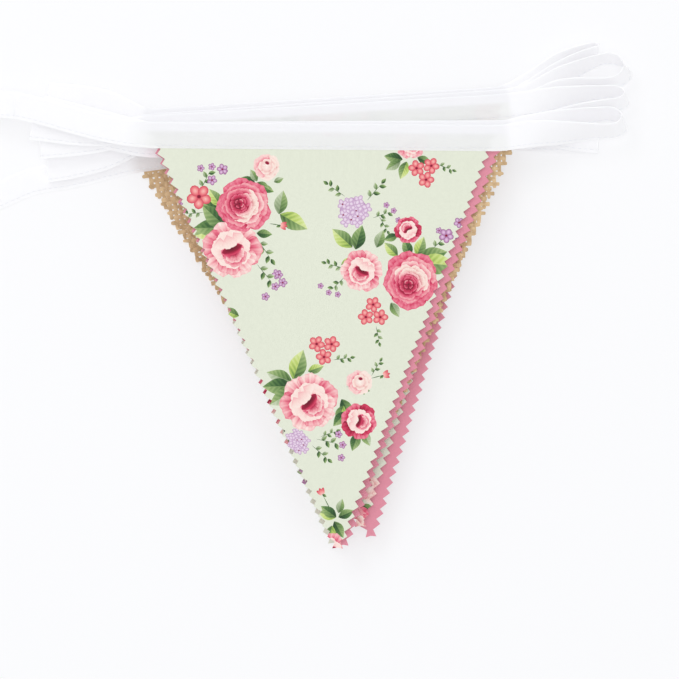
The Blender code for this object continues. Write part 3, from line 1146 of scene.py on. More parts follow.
PRINT: tuple[Placed, ...] = (
    Placed(Motif.PLUM_SPRIG, -60.0, 20.0, 11.0, -65),
    Placed(Motif.PLUM_SPRIG, -58.0, 30.0, 9.0, 175),
    Placed(Motif.DARK_LEAF, -49.0, 30.0, 12.0, 205),
    Placed(Motif.LIME_LEAF, -50.0, 27.0, 10.0, 235),
    Placed(Motif.LIME_LEAF, -48.0, 36.0, 16.0, 160),
    Placed(Motif.DARK_LEAF, -48.0, 37.0, 15.0, 178),
    Placed(Motif.OLIVE_LEAF, -50.0, 40.0, 11.0, 140),
    Placed(Motif.DARK_LEAF, -47.4, 37.0, 15.6, 222),
    Placed(Motif.CORAL, -60.5, 22.5, 6.0, 20),
    Placed(Motif.PLUM, -49.5, 9.4, 2.7, 40),
    Placed(Motif.PLUM, -54.4, 14.6, 2.5, 10),
    Placed(Motif.DARK_LEAF, -31.0, 17.5, 6.5, 22),
    Placed(Motif.OLIVE_LEAF, -25.0, 15.2, 5.0, -22),
    Placed(Motif.DARK_LEAF, -33.0, 39.6, 7.5, 4),
    Placed(Motif.PLUM, -23.2, 59.0, 2.5, 30),
    Placed(Motif.PLUM, -20.4, 63.0, 2.3, 0),
    Placed(Motif.LIME_LEAF, 7.3, 54.2, 7.0, -22),
    Placed(Motif.PLUM, 63.0, 33.8, 2.6, 20),
    Placed(Motif.SPRIG, -33.0, 42.0, 12.0, 55),
    Placed(Motif.PLUM_SPRIG, -33.0, 54.0, 12.0, 50),
    Placed(Motif.OLIVE_LEAF, -22.5, 30.5, 11.5, -80),
    Placed(Motif.LIME_LEAF, -22.0, 30.5, 15.0, 28),
    Placed(Motif.CORAL_BUD, -27.0, 35.0, 5.5, 8),
    Placed(Motif.DARK_LEAF, -34.0, 15.5, 7.5, 195),
    Placed(Motif.DARK_LEAF, -33.0, 15.5, 7.0, 30),
    Placed(Motif.OLIVE_LEAF, -33.0, 15.0, 6.5, 240),
    Placed(Motif.ROSEBUD, -28.6, 8.0, 6.4, 25),
    Placed(Motif.PALE_ROSE, -44.5, 47.5, 14.2, 68),
    Placed(Motif.FULL_ROSE, -39.2, 26.4, 13.2, 20),
    Placed(Motif.LIME_LEAF, -41.0, 79.0, 9.0, 200),
    Placed(Motif.SPRIG, 9.0, 22.0, 10.0, 215),
    Placed(Motif.SPRIG, 19.0, 24.0, 11.0, -50),
    Placed(Motif.PLUM_SPRIG, 22.0, 32.0, 9.0, -20),
    Placed(Motif.SPRIG, 25.0, 31.0, 8.0, 60),
    Placed(Motif.CLUSTER, 13.0, 28.6, 8.4, 0),
    Placed(Motif.LIME_LEAF, 12.5, 46.0, 13.0, 222),
    Placed(Motif.DARK_LEAF, 14.0, 47.0, 12.0, -75),
    Placed(Motif.OLIVE_LEAF, 24.0, 46.0, 9.0, -70),
    Placed(Motif.LIME_LEAF, 34.0, 50.0, 9.0, 225),
    Placed(Motif.DARK_LEAF, 40.0, 50.0, 9.0, -110),
    Placed(Motif.LIME_LEAF, 43.0, 50.0, 10.0, -70),
    Placed(Motif.DARK_LEAF, 44.0, 51.0, 14.0, -14),
    Placed(Motif.LIME_LEAF, 44.0, 53.0, 18.0, 4),
    Placed(Motif.DARK_LEAF, 34.0, 40.0, 7.0, 160),
    Placed(Motif.RED_ROSE, 38.8, 37.4, 6.6, 235),
    Placed(Motif.PLUM_SPRIG, 50.0, 47.0, 10.0, -45),
    Placed(Motif.PLUM, 57.0, 40.0, 3.6, 15),
    Placed(Motif.PLUM_SPRIG, 9.0, 60.0, 9.0, 135),
    Placed(Motif.SPRIG, 9.0, 56.0, 9.0, 195),
    Placed(Motif.PALE_ROSE, 17.0, 57.2, 10.2, 120),
    Placed(Motif.FULL_ROSE, 40.4, 61.4, 13.4, -60),
    Placed(Motif.OLIVE_LEAF, 31.0, 72.0, 8.0, 60),
    Placed(Motif.SPRIG, 24.0, 83.0, 8.0, 78),
    Placed(Motif.CORAL_TRIO, 22.6, 77.0, 6.4, 30),
    Placed(Motif.DARK_LEAF, 36.0, 4.0, 9.0, 190),
    Placed(Motif.OLIVE_LEAF, 35.0, 5.0, 8.0, 150),
    Placed(Motif.LIME_LEAF, 38.0, 5.0, 9.0, 110),
    Placed(Motif.DARK_LEAF, 43.0, 3.0, 7.0, 20),
    Placed(Motif.OPEN_ROSE, 40.0, -4.0, 8.0, 60),
    Placed(Motif.CORAL_TRIO, 46.5, 9.5, 6.6, 80),
    Placed(Motif.SPRIG, 52.0, 6.0, 8.0, 20),
    Placed(Motif.SPRIG, 3.5, 99.5, 8.5, -8),
    Placed(Motif.CORAL_TRIO, -0.5, 94.0, 6.6, -30),
    Placed(Motif.LIME_LEAF, -15.0, 109.0, 15.0, -72),
    Placed(Motif.OLIVE_LEAF, -15.5, 110.0, 13.0, 200),
    Placed(Motif.DARK_LEAF, -15.5, 112.0, 14.0, 178),
    Placed(Motif.OLIVE_LEAF, -14.0, 114.0, 14.0, 150),
    Placed(Motif.LIME_LEAF, -8.0, 105.0, 8.0, -20),
    Placed(Motif.DARK_LEAF, 8.0, 118.0, 10.0, 62),
    Placed(Motif.LIME_LEAF, 9.0, 121.0, 9.0, 110),
    Placed(Motif.DARK_LEAF, 10.0, 124.0, 9.0, 130),
    Placed(Motif.SPRIG, 10.0, 112.0, 9.0, 10),
    Placed(Motif.CORAL_BUD, 22.0, 108.0, 6.0, -15),
    Placed(Motif.SPRIG, 22.0, 107.0, 8.0, -60),
    Placed(Motif.ROSEBUD, 16.6, 110.0, 6.2, 10),
    Placed(Motif.SPRIG, -2.0, 136.0, 8.0, -20),
    Placed(Motif.PLUM_SPRIG, -4.0, 137.0, 11.0, 12),
    Placed(Motif.SPRIG, -6.0, 140.0, 10.0, 40),
    Placed(Motif.DARK_LEAF, 16.0, 134.0, 9.0, 108),
    Placed(Motif.OLIVE_LEAF, 18.0, 133.0, 8.0, 62),
    Placed(Motif.CLUSTER, -13.0, 138.5, 6.6, 30),
    Placed(Motif.RED_ROSE, 16.4, 128.4, 8.8, 15),
    Placed(Motif.PALE_ROSE, -7.2, 119.6, 14.0, 42),
    Placed(Motif.CORAL_BUD, 4.0, 172.0, 10.0, -118),
    Placed(Motif.LIME_LEAF, 6.0, 174.0, 9.0, 195),
    Placed(Motif.DARK_LEAF, 6.0, 174.0, 9.0, 215),
    Placed(Motif.DARK_LEAF, 7.0, 174.0, 8.0, -25),
    Placed(Motif.OLIVE_LEAF, 7.0, 172.0, 7.0, -75),
    Placed(Motif.DARK_LEAF, 5.0, 176.0, 9.0, 60),
    Placed(Motif.LIME_LEAF, 4.0, 178.0, 9.0, 100),
    Placed(Motif.OPEN_ROSE, 3.0, 190.0, 9.0, 60),
)


@dataclass(frozen=True)
class FlowerPrint:
    """The printed cloth: its ground, its repeat and how finely it is drawn."""

    ground: Colour = linear(227, 231, 213)
    reverse: Colour = linear(230, 233, 220)
    repeat_x: float = 150.0
    repeat_y: float = 205.0
    fine: float = 0.55
    coarse: float = 1.3

    def stamps(self, shift: Point, bounds: Bounds) -> list[Stamp]:
        """Draw the part of the print that falls on one flag.

        Args:
            shift: Where on the cloth the flag was cut.
            bounds: The lowest and highest p and q of the flag.

        Returns:
            The printed shapes, from the cloth up.
        """
        painter = Painter()
        for across in (-1, 0, 1):
            for down in (-1, 0, 1):
                for placed in PRINT:
                    x = placed.x + shift[0] + across * self.repeat_x
                    y = placed.y + shift[1] + down * self.repeat_y
                    reach = placed.size * 1.5
                    low_x, high_x, low_y, high_y = bounds
                    if low_x - reach < x < high_x + reach and low_y - reach < y < high_y + reach:
                        painter.draw(Placed(placed.motif, x, y, placed.size, placed.turn))
        return painter.stamps


def inside(outline: Sequence[Point], x: float, y: float) -> bool:
    """Tell whether a point is inside an outline.

    Args:
        outline: The outline's points in order.
        x: The point's place.
        y: Its other coordinate.

    Returns:
        True if it is inside.
    """
    found = False
    for (x1, y1), (x2, y2) in zip(outline, [*outline[1:], outline[0]]):
        if (y1 > y) != (y2 > y) and x < (x2 - x1) * (y - y1) / (y2 - y1) + x1:
            found = not found
    return found


def grid(bounds: Bounds, pitch: float, chance: random.Random) -> Iterable[Point]:
    """Scatter points over a box in staggered rows.

    Args:
        bounds: The lowest and highest x and y.
        pitch: How far apart they are.
        chance: The source of their small shifts.

    Yields:
        The points.
    """
    low_x, high_x, low_y, high_y = bounds
    for row in range(int((high_y - low_y) / pitch) + 1):
        for column in range(int((high_x - low_x) / pitch) + 1):
            x = low_x + (column + 0.5 * (row % 2)) * pitch + chance.uniform(-0.15, 0.15) * pitch
            yield x, low_y + row * pitch + chance.uniform(-0.15, 0.15) * pitch


def left_turning(ring: Sequence[Point]) -> Sequence[Point]:
    """Give a ring of points in the order that keeps its inside on the left.

    Args:
        ring: The points in either order.

    Returns:
        The points in that order.
    """
    area = sum(x1 * y2 - x2 * y1 for (x1, y1), (x2, y2) in zip(ring, [*ring[1:], ring[0]]))
    return ring if area > 0 else ring[::-1]


def triangulate(outline: Sequence[Point], stamps: Sequence[Stamp], extra: Iterable[Point]) -> Sheet:
    """Cut a flat cloth into triangles that follow its outline and its printed shapes.

    Args:
        outline: The cloth's edge.
        stamps: The printed shapes, from the cloth up.
        extra: More points to use.

    Returns:
        The points, the triangles, and for each of those the uppermost shape on it, or -1.
    """
    points: list[Vector] = []
    faces: list[list[int]] = []
    for ring in (outline, *(stamp.outline for stamp in stamps)):
        faces.append(list(range(len(points), len(points) + len(ring))))
        points += [Vector(point) for point in left_turning(ring)]
    points += [Vector(point) for point in extra]
    found, _, triangles, _, _, origins = delaunay_2d_cdt(points, [], faces, 0, 1e-4)
    kept, uppermost = [], []
    for triangle, origin in zip(triangles, origins):
        if 0 in origin:
            kept.append(tuple(triangle))
            uppermost.append(max(origin) - 1)
    used = sorted({i for triangle in kept for i in triangle})
    place = {old: new for new, old in enumerate(used)}
    triangles = [tuple(place[i] for i in triangle) for triangle in kept]
    return [tuple(found[i]) for i in used], triangles, uppermost


def rim_of(triangles: Sequence[Triangle]) -> list[int]:
    """Follow the edge of a triangulated cloth.

    Args:
        triangles: Its triangles.

    Returns:
        The points along its edge in order.
    """
    sides = {(a, b) for t in triangles for a, b in ((t[0], t[1]), (t[1], t[2]), (t[2], t[0]))}
    onward = {a: b for a, b in sides if (b, a) not in sides}
    start = min(onward)
    ring = [start]
    while onward[ring[-1]] != start:
        ring.append(onward[ring[-1]])
    return ring


def finish_piece(
    name: str, mesh: bpy.types.Mesh, slot: str, node: str | None = None, sharp: float = 40.0
) -> bpy.types.Object:
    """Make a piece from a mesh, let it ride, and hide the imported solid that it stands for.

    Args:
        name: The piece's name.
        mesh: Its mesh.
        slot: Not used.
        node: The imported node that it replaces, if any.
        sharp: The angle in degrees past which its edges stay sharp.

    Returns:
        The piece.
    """
    mesh.shade_smooth()
    mesh.set_sharp_from_angle(angle=math.radians(sharp))
    made = put_in_scene(name, mesh)
    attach(made, ROOT)
    if node:
        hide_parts(node)
    LOG.info("%s: %d faces", name, len(mesh.polygons))
    return made


@dataclass
class CottonFlag:
    """A flag of thin cotton, plain or printed."""

    flag: Flag
    shift: Vector
    flowers: FlowerPrint
    thick: float = 0.55
    plain_grid: float = 3.2
    under_grid: float = 4.0
    pleat_height: float = 0.16
    pleat_pitch: float = 4.6
    pleat_reach: float = 22.0
    pleat_grid: float = 1.1
    pleat_half: float = 55.0
    ruffle: float = 0.16
    ruffle_pitch: float = 17.0
    print_cell: float = 2.0
    pink: Colour = linear(226, 145, 163)
    pink_under: Colour = linear(214, 120, 143)

    def __post_init__(self) -> None:
        """Cut the flag out."""
        self.outline = PINKING.outline(STACK, self.flag)
        ps, qs = zip(*self.outline)
        self.bounds = (min(ps), max(ps), min(qs), max(qs))

    def lift(self, p: float, q: float) -> Vector:
        """Place a point of the flag's cloth, in metres, at the middle of its thickness."""
        x, y = STACK.spot(self.flag, p, q)
        z = STACK.middle(self.flag, p, q)
        out = smooth((q - 2.0) / 12.0)
        pitch = self.ruffle_pitch
        z += self.ruffle * out * noise.noise(Vector((x / pitch, y / pitch, self.flag.number * 9.1)))
        if self.flag.number == 1:
            fade = smooth(1.0 - q / self.pleat_reach) * smooth(1.3 - abs(p) / self.pleat_half)
            fade *= smooth(q / 2.5)
            p += 1.2 * math.sin(p * 0.19)
            z += self.pleat_height * fade * math.sin(2 * math.pi * p / self.pleat_pitch)
        return (Vector((x, y, z)) + self.shift) * MM

    def stamps(self) -> list[Stamp]:
        """The printed shapes on this flag, none on plain cloth."""
        if self.flag.cloth is not Cloth.FLORAL:
            return []
        return self.flowers.stamps(self.flag.print_shift, self.bounds)

    def inner_points(self, stamps: Sequence[Stamp]) -> list[Point]:
        """Choose the points inside the flag: close together in the print and sparse elsewhere.

        Args:
            stamps: The printed shapes.

        Returns:
            The points.
        """
        chance = random.Random(self.flag.number + 40)
        points = list(grid(self.bounds, self.plain_grid, chance))
        if self.flag.number == 1:
            low, high, top, _ = self.bounds
            points += grid((low, high, top, self.pleat_reach), self.pleat_grid, chance)
        if stamps:
            cell, busy = self.print_cell, set()
            for stamp in stamps:
                columns, rows = (
                    range(math.floor(min(values) / cell), math.floor(max(values) / cell) + 1)
                    for values in zip(*stamp.outline)
                )
                busy.update((i, j) for i in columns for j in rows)
            pitch = self.flowers.fine if self.flag.number == 1 else self.flowers.coarse
            printed = grid(self.bounds, pitch, chance)
            points += [(x, y) for x, y in printed if (math.floor(x / cell), math.floor(y / cell)) in busy]
        return [(x, y) for x, y in points if inside(self.outline, x, y)]

    def build(self, material: bpy.types.Material, slot: str) -> None:
        """Build the flag's cloth.

        Args:
            material: Its finish.
            slot: Passed on, but not used.
        """
        stamps = self.stamps()
        points, upper, uppermost = triangulate(self.outline, stamps, self.inner_points(stamps))
        rim = rim_of(upper)
        edge = [points[i] for i in rim]
        chance = random.Random(self.flag.number + 80)
        extra = [(x, y) for x, y in grid(self.bounds, self.under_grid, chance) if inside(edge, x, y)]
        under_points, under, _ = triangulate(edge, [], extra)
        half = Vector((0.0, 0.0, self.thick * MM / 2))
        places = [self.lift(*point) + half for point in points]
        count = len(points)
        places += [self.lift(*point) - half for point in under_points]
        # The flag's plane is the stack's seen from below, so the upper faces are turned round.
        faces = [face[::-1] for face in upper]
        faces += [tuple(i + count for i in face) for face in under]
        match_under = {(round(x, 4), round(y, 4)): i for i, (x, y) in enumerate(under_points)}
        below = [match_under[(round(points[i][0], 4), round(points[i][1], 4))] + count for i in rim]
        for k in range(len(rim)):
            following = (k + 1) % len(rim)
            faces.append((below[following], below[k], rim[k], rim[following]))
        mesh = bpy.data.meshes.new(f"{self.flag.node}_cloth")
        mesh.from_pydata(places, [], faces)
        self.dress(mesh, [*points, *under_points], faces, stamps, uppermost)
        mesh.materials.append(material)
        made = finish_piece(self.flag.piece, mesh, slot, self.flag.node)
        declare_flag(self.flag)

    def dress(self, mesh: bpy.types.Mesh, flat: Sequence[Point], faces: Sequence[Sequence[int]],
              stamps: Sequence[Stamp], uppermost: Sequence[int]) -> None:
        """Keep the cloth's flat coordinates and its colours on the mesh.

        Args:
            mesh: The flag's mesh.
            flat: The flat place of each of its points.
            faces: Its faces, the upper ones first.
            stamps: The printed shapes.
            uppermost: The uppermost shape on each upper face, or -1.
        """
        floral = self.flag.cloth is Cloth.FLORAL
        ground = self.flowers.ground if floral else self.pink
        back = self.flowers.reverse if floral else self.pink_under
        uvs, colours = [], []
        for number, face in enumerate(faces):
            over = uppermost[number] if number < len(uppermost) else None
            for corner in face:
                x, y = flat[corner]
                uvs += (x, y)
                if over is None:
                    colours += (*back, 1.0)
                elif over < 0:
                    colours += (*ground, 1.0)
                else:
                    colours += (*stamps[over].paint(x, y), 1.0)
        mesh.uv_layers.new(name=UV_NAME).data.foreach_set("uv", uvs)
        mesh.attributes.new("dye", "FLOAT_COLOR", "CORNER").data.foreach_set("color", colours)


def declare_flag(flag: Flag) -> None:
    """Work out a flag's flat size, a triangle and the strip that the tape hides, which is then not used.

    Args:
        flag: The flag.
    """
    width = flag.width * (1.0 + PINKING.hidden / STACK.drop(flag)) * MM
    length = (STACK.drop(flag) + PINKING.hidden) * MM


@dataclass
class BurlapFlag:
    """A flag of open jute cloth, laid thread by thread."""

    flag: Flag
    shift: Vector
    pitch: float = 2.4
    broad: float = 1.95
    high: float = 0.58
    swing: float = 0.35
    swell: float = 0.14
    fray: float = 0.9
    shown_strip: float = 1.6
    bow: float = 0.28
    sway: float = 0.16
    # How much lighter a thread is painted on a crest of the weave, and darker in a dip: painted light and
    # shade.
    lit: float = 0.30
    pressed_from: float = 1.2
    pressed_reach: float = 1.6
    pressed_share: float = 0.85

    def __post_init__(self) -> None:
        """Seed the threads' unevenness."""
        self.chance = random.Random(self.flag.number + 20)

    def lift(self, p: float, q: float, swing: float) -> Vector:
        """Place a point of a thread, in metres.

        Args:
            p: Its place along the top edge.
            q: Its place below that edge.
            swing: Its height over the middle of the cloth.

        Returns:
            The point. Under the tape the weave is pressed flat.
        """
        x, y = STACK.spot(self.flag, p, q)
        pressed = smooth((self.pressed_from - q) / self.pressed_reach)
        sink = (STACK.burlap_solid - STACK.tape_solid) / 2 * pressed
        z = STACK.middle(self.flag, p, q) + swing * (1.0 - self.pressed_share * pressed) - sink
        z += self.swell * (1.0 - pressed)
        return (Vector((x, y, z)) + self.shift) * MM

    def threads(self) -> list[list[Crossing]]:
        """Lay out every thread of the weave.

        Returns:
            For each thread, its points as p, q and height.
        """
        drop, half = STACK.drop(self.flag), self.flag.width / 2
        laid = []
        rows = int((drop + self.shown_strip) / self.pitch)
        for i in range(rows):
            q = -self.shown_strip + (i + 0.5) * self.pitch
            reach = PINKING.half_width(STACK, self.flag, q)
            if reach < 1.2:
                continue
            left, right = (reach + self.chance.uniform(-0.3, self.fray) for _ in range(2))
            laid.append(self.thread((-left, right), lambda s, q=q: (s, q), i))
        columns = int(half / self.pitch)
        for j in range(-columns, columns + 1):
            p = j * self.pitch
            foot = drop * (1.0 - (abs(p) + PINKING.depth * 0.5) / half)
            foot += self.chance.uniform(-1.2, self.fray)
            if foot > 1.0:
                laid.append(self.thread((-self.shown_strip, foot), lambda s, p=p: (p, s), j + 1))
        return laid

    def thread(self, ends: Point, place: Callable[[float], Point], parity: int) -> list[Crossing]:
        """Lay out one thread, which waves up and down along its way.

        Args:
            ends: Where it starts and stops.
            place: Turns a distance along it into p and q.
            parity: Its number, which says whether it starts high or low.

        Returns:
            Its points.
        """
        step = self.pitch / 2
        first, last = math.ceil(ends[0] / step), math.floor(ends[1] / step)
        marks = [ends[0], *[k * step for k in range(first, last + 1)], ends[1]]
        bow = self.chance.uniform(-self.bow, self.bow)
        row = place(0.0)[0] != place(1.0)[0]
        points = []
        for mark in marks:
            wave = math.cos(math.pi * (mark / self.pitch + parity))
            sway = bow + self.sway * math.sin(mark * 0.21 + parity * 1.7)
            p, q = place(mark)
            if row:
                points.append((p, q + sway, self.swing * wave))
            else:
                # A known fault, kept with the shapes: this sign puts both threads on the same side
                # at nearly every crossing, so they pass through each other. Only at about one in a
                # hundred does rounding turn the column over.
                slipped = (p + sway) - sway != p
                points.append((p + sway, q, self.swing * wave * (1 if slipped else -1)))
        return points

    def build(self, material: bpy.types.Material, slot: str) -> None:
        """Weave the flag.

        Args:
            material: The jute's finish.
            slot: Passed on, but not used.
        """
        places, edges, girths, tones = [], [], [], []
        for points in self.threads():
            tone, girth = self.chance.uniform(0.1, 0.9), self.chance.uniform(0.84, 1.06)
            start = len(places)
            for k, (p, q, swing) in enumerate(points):
                places.append(self.lift(p, q, swing))
                slub = girth * self.chance.uniform(0.86, 1.14)
                girths.append(slub * (0.6 if k in (0, len(points) - 1) else 1.0))
                # Painted light and shade: lighter where the thread rides over a crossing, darker where it
                # dips under.
                lit = tone + self.lit * swing / self.swing
                tones.append(min(1.0, max(0.0, lit + self.chance.uniform(-0.2, 0.2))))
            edges += [(k, k + 1) for k in range(start, len(places) - 1)]
        path = bpy.data.meshes.new("jute_paths")
        path.from_pydata(places, edges, [])
        for name, values in (("girth", girths), ("tone", tones)):
            path.attributes.new(name, "FLOAT", "POINT").data.foreach_set("value", values)
        sizes = {"Width": self.broad * MM, "Height": self.high * MM, "Finish": material}
        mesh = grow(path, yarn_tree(), sizes)
        made = finish_piece(self.flag.piece, mesh, slot, self.flag.node, 80.0)
        declare_flag(self.flag)


AddNode = Callable[..., bpy.types.Node]


def new_tree(name: str, sizes: Sequence[str]) -> tuple[bpy.types.NodeTree, AddNode]:
    """Start a geometry tree with named inputs.

    Args:
        name: The tree's name.
        sizes: The name of each size that it takes, after the geometry and its finish.

    Returns:
        The tree, and a function that adds a node to it.
    """
    sockets = [*((size, "NodeSocketFloat") for size in sizes), ("Finish", "NodeSocketMaterial")]
    tree = bpy.data.node_groups.new(name, "GeometryNodeTree")
    tree.interface.new_socket("Geometry", in_out="INPUT", socket_type="NodeSocketGeometry")
    for label, kind in sockets:
        tree.interface.new_socket(label, in_out="INPUT", socket_type=kind)
    tree.interface.new_socket("Geometry", in_out="OUTPUT", socket_type="NodeSocketGeometry")

    def add(kind: str, values: dict[str, object] | None = None, **settings: object) -> bpy.types.Node:
        """Add one node, with its settings and its linked or set sockets."""
        node = tree.nodes.new(kind)
        for key, value in settings.items():
            setattr(node, key, value)
        for key, value in (values or {}).items():
            if isinstance(value, bpy.types.NodeSocket):
                tree.links.new(value, node.inputs[key])
            else:
                node.inputs[key].default_value = value
        return node

    return tree, add


def end_tree(add: AddNode, geometry: bpy.types.NodeSocket, finish: bpy.types.NodeSocket) -> None:
    """End a geometry tree: make its instances real and give them their finish.

    Args:
        add: Adds a node to the tree.
        geometry: The socket with what was made.
        finish: The socket with its finish.
    """
    whole = add("GeometryNodeRealizeInstances", {"Geometry": geometry}).outputs["Geometry"]
    dressed = add("GeometryNodeSetMaterial", {"Geometry": whole, "Material": finish}).outputs["Geometry"]
    add("NodeGroupOutput", {"Geometry": dressed})


def yarn_tree() -> bpy.types.NodeTree:
    """Build the tree that turns lines into flattened yarns.

    Returns:
        The tree, whose lines carry their girth at each point.
    """
    if "yarns" in bpy.data.node_groups:
        return bpy.data.node_groups["yarns"]
    tree, add = new_tree("yarns", ("Width", "Height"))
    given = add("NodeGroupInput").outputs
    lines = add("GeometryNodeMeshToCurve", {"Mesh": given["Geometry"]}).outputs["Curve"]
    upright = add("GeometryNodeSetCurveNormal", {"Curve": lines}, mode="Z_UP").outputs["Curve"]
    ring = add("GeometryNodeCurvePrimitiveCircle", {"Resolution": 4, "Radius": 0.5}).outputs["Curve"]
    size = add("ShaderNodeCombineXYZ", {"X": given["Width"], "Y": given["Height"], "Z": 1.0}).outputs[0]
    section = add("GeometryNodeTransform", {"Geometry": ring, "Scale": size}).outputs["Geometry"]
    girth = add("GeometryNodeInputNamedAttribute", {"Name": "girth"}, data_type="FLOAT")
    wires = {
        "Curve": upright,
        "Profile Curve": section,
        "Scale": girth.outputs["Attribute"],
        "Fill Caps": True,
    }
    end_tree(add, add("GeometryNodeCurveToMesh", wires).outputs["Mesh"], given["Finish"])
    return tree


def stitch_tree() -> bpy.types.NodeTree:
    """Build the tree that sews one stitch at each point, laid along the seam.

    Returns:
        The tree, whose points carry the seam's direction and the cloth's outward one.
    """
    tree, add = new_tree("stitches", ("Length", "Thickness"))
    given = add("NodeGroupInput").outputs
    bead = add("GeometryNodeMeshUVSphere", {"Segments": 6, "Rings": 5, "Radius": 0.5}).outputs["Mesh"]
    wires = {"X": given["Length"], "Y": given["Thickness"], "Z": given["Thickness"]}
    size = add("ShaderNodeCombineXYZ", wires).outputs[0]
    stitch = add("GeometryNodeTransform", {"Geometry": bead, "Scale": size}).outputs["Geometry"]
    along, out = (
        add("GeometryNodeInputNamedAttribute", {"Name": name}, data_type="FLOAT_VECTOR")
        for name in ("along", "out")
    )
    wires = {"Primary Axis": along.outputs["Attribute"], "Secondary Axis": out.outputs["Attribute"]}
    turn = add("FunctionNodeAxesToRotation", wires, primary_axis="X", secondary_axis="Z")
    wires = {"Points": given["Geometry"], "Instance": stitch, "Rotation": turn.outputs["Rotation"]}
    end_tree(add, add("GeometryNodeInstanceOnPoints", wires).outputs["Instances"], given["Finish"])
    return tree


def grow(seed: bpy.types.Mesh, tree: bpy.types.NodeTree, values: dict[str, object]) -> bpy.types.Mesh:
    """Run a geometry tree on a mesh and keep the plain result.

    Args:
        seed: The mesh that the tree starts from.
        tree: The tree.
        values: What its inputs are set to, by name.

    Returns:
        The new mesh.
    """
    carrier = put_in_scene(seed.name, seed)
    modifier = carrier.modifiers.new("grown", "NODES")
    modifier.node_group = tree
    for item in tree.interface.items_tree:
        if item.item_type == "SOCKET" and item.in_out == "INPUT" and item.name in values:
            modifier[item.identifier] = values[item.name]
    bpy.context.view_layer.update()
    seen = carrier.evaluated_get(bpy.context.evaluated_depsgraph_get())
    mesh = bpy.data.meshes.new_from_object(seen)
    bpy.data.objects.remove(carrier)
    return mesh


@dataclass(frozen=True)
class Section:
    """One section of the tape: its middle, its axes, and what lies between its leaves."""

    place: Vector
    along: Vector
    across: Vector
    face: Vector
    filled: float
    distance: float
    flag: Flag


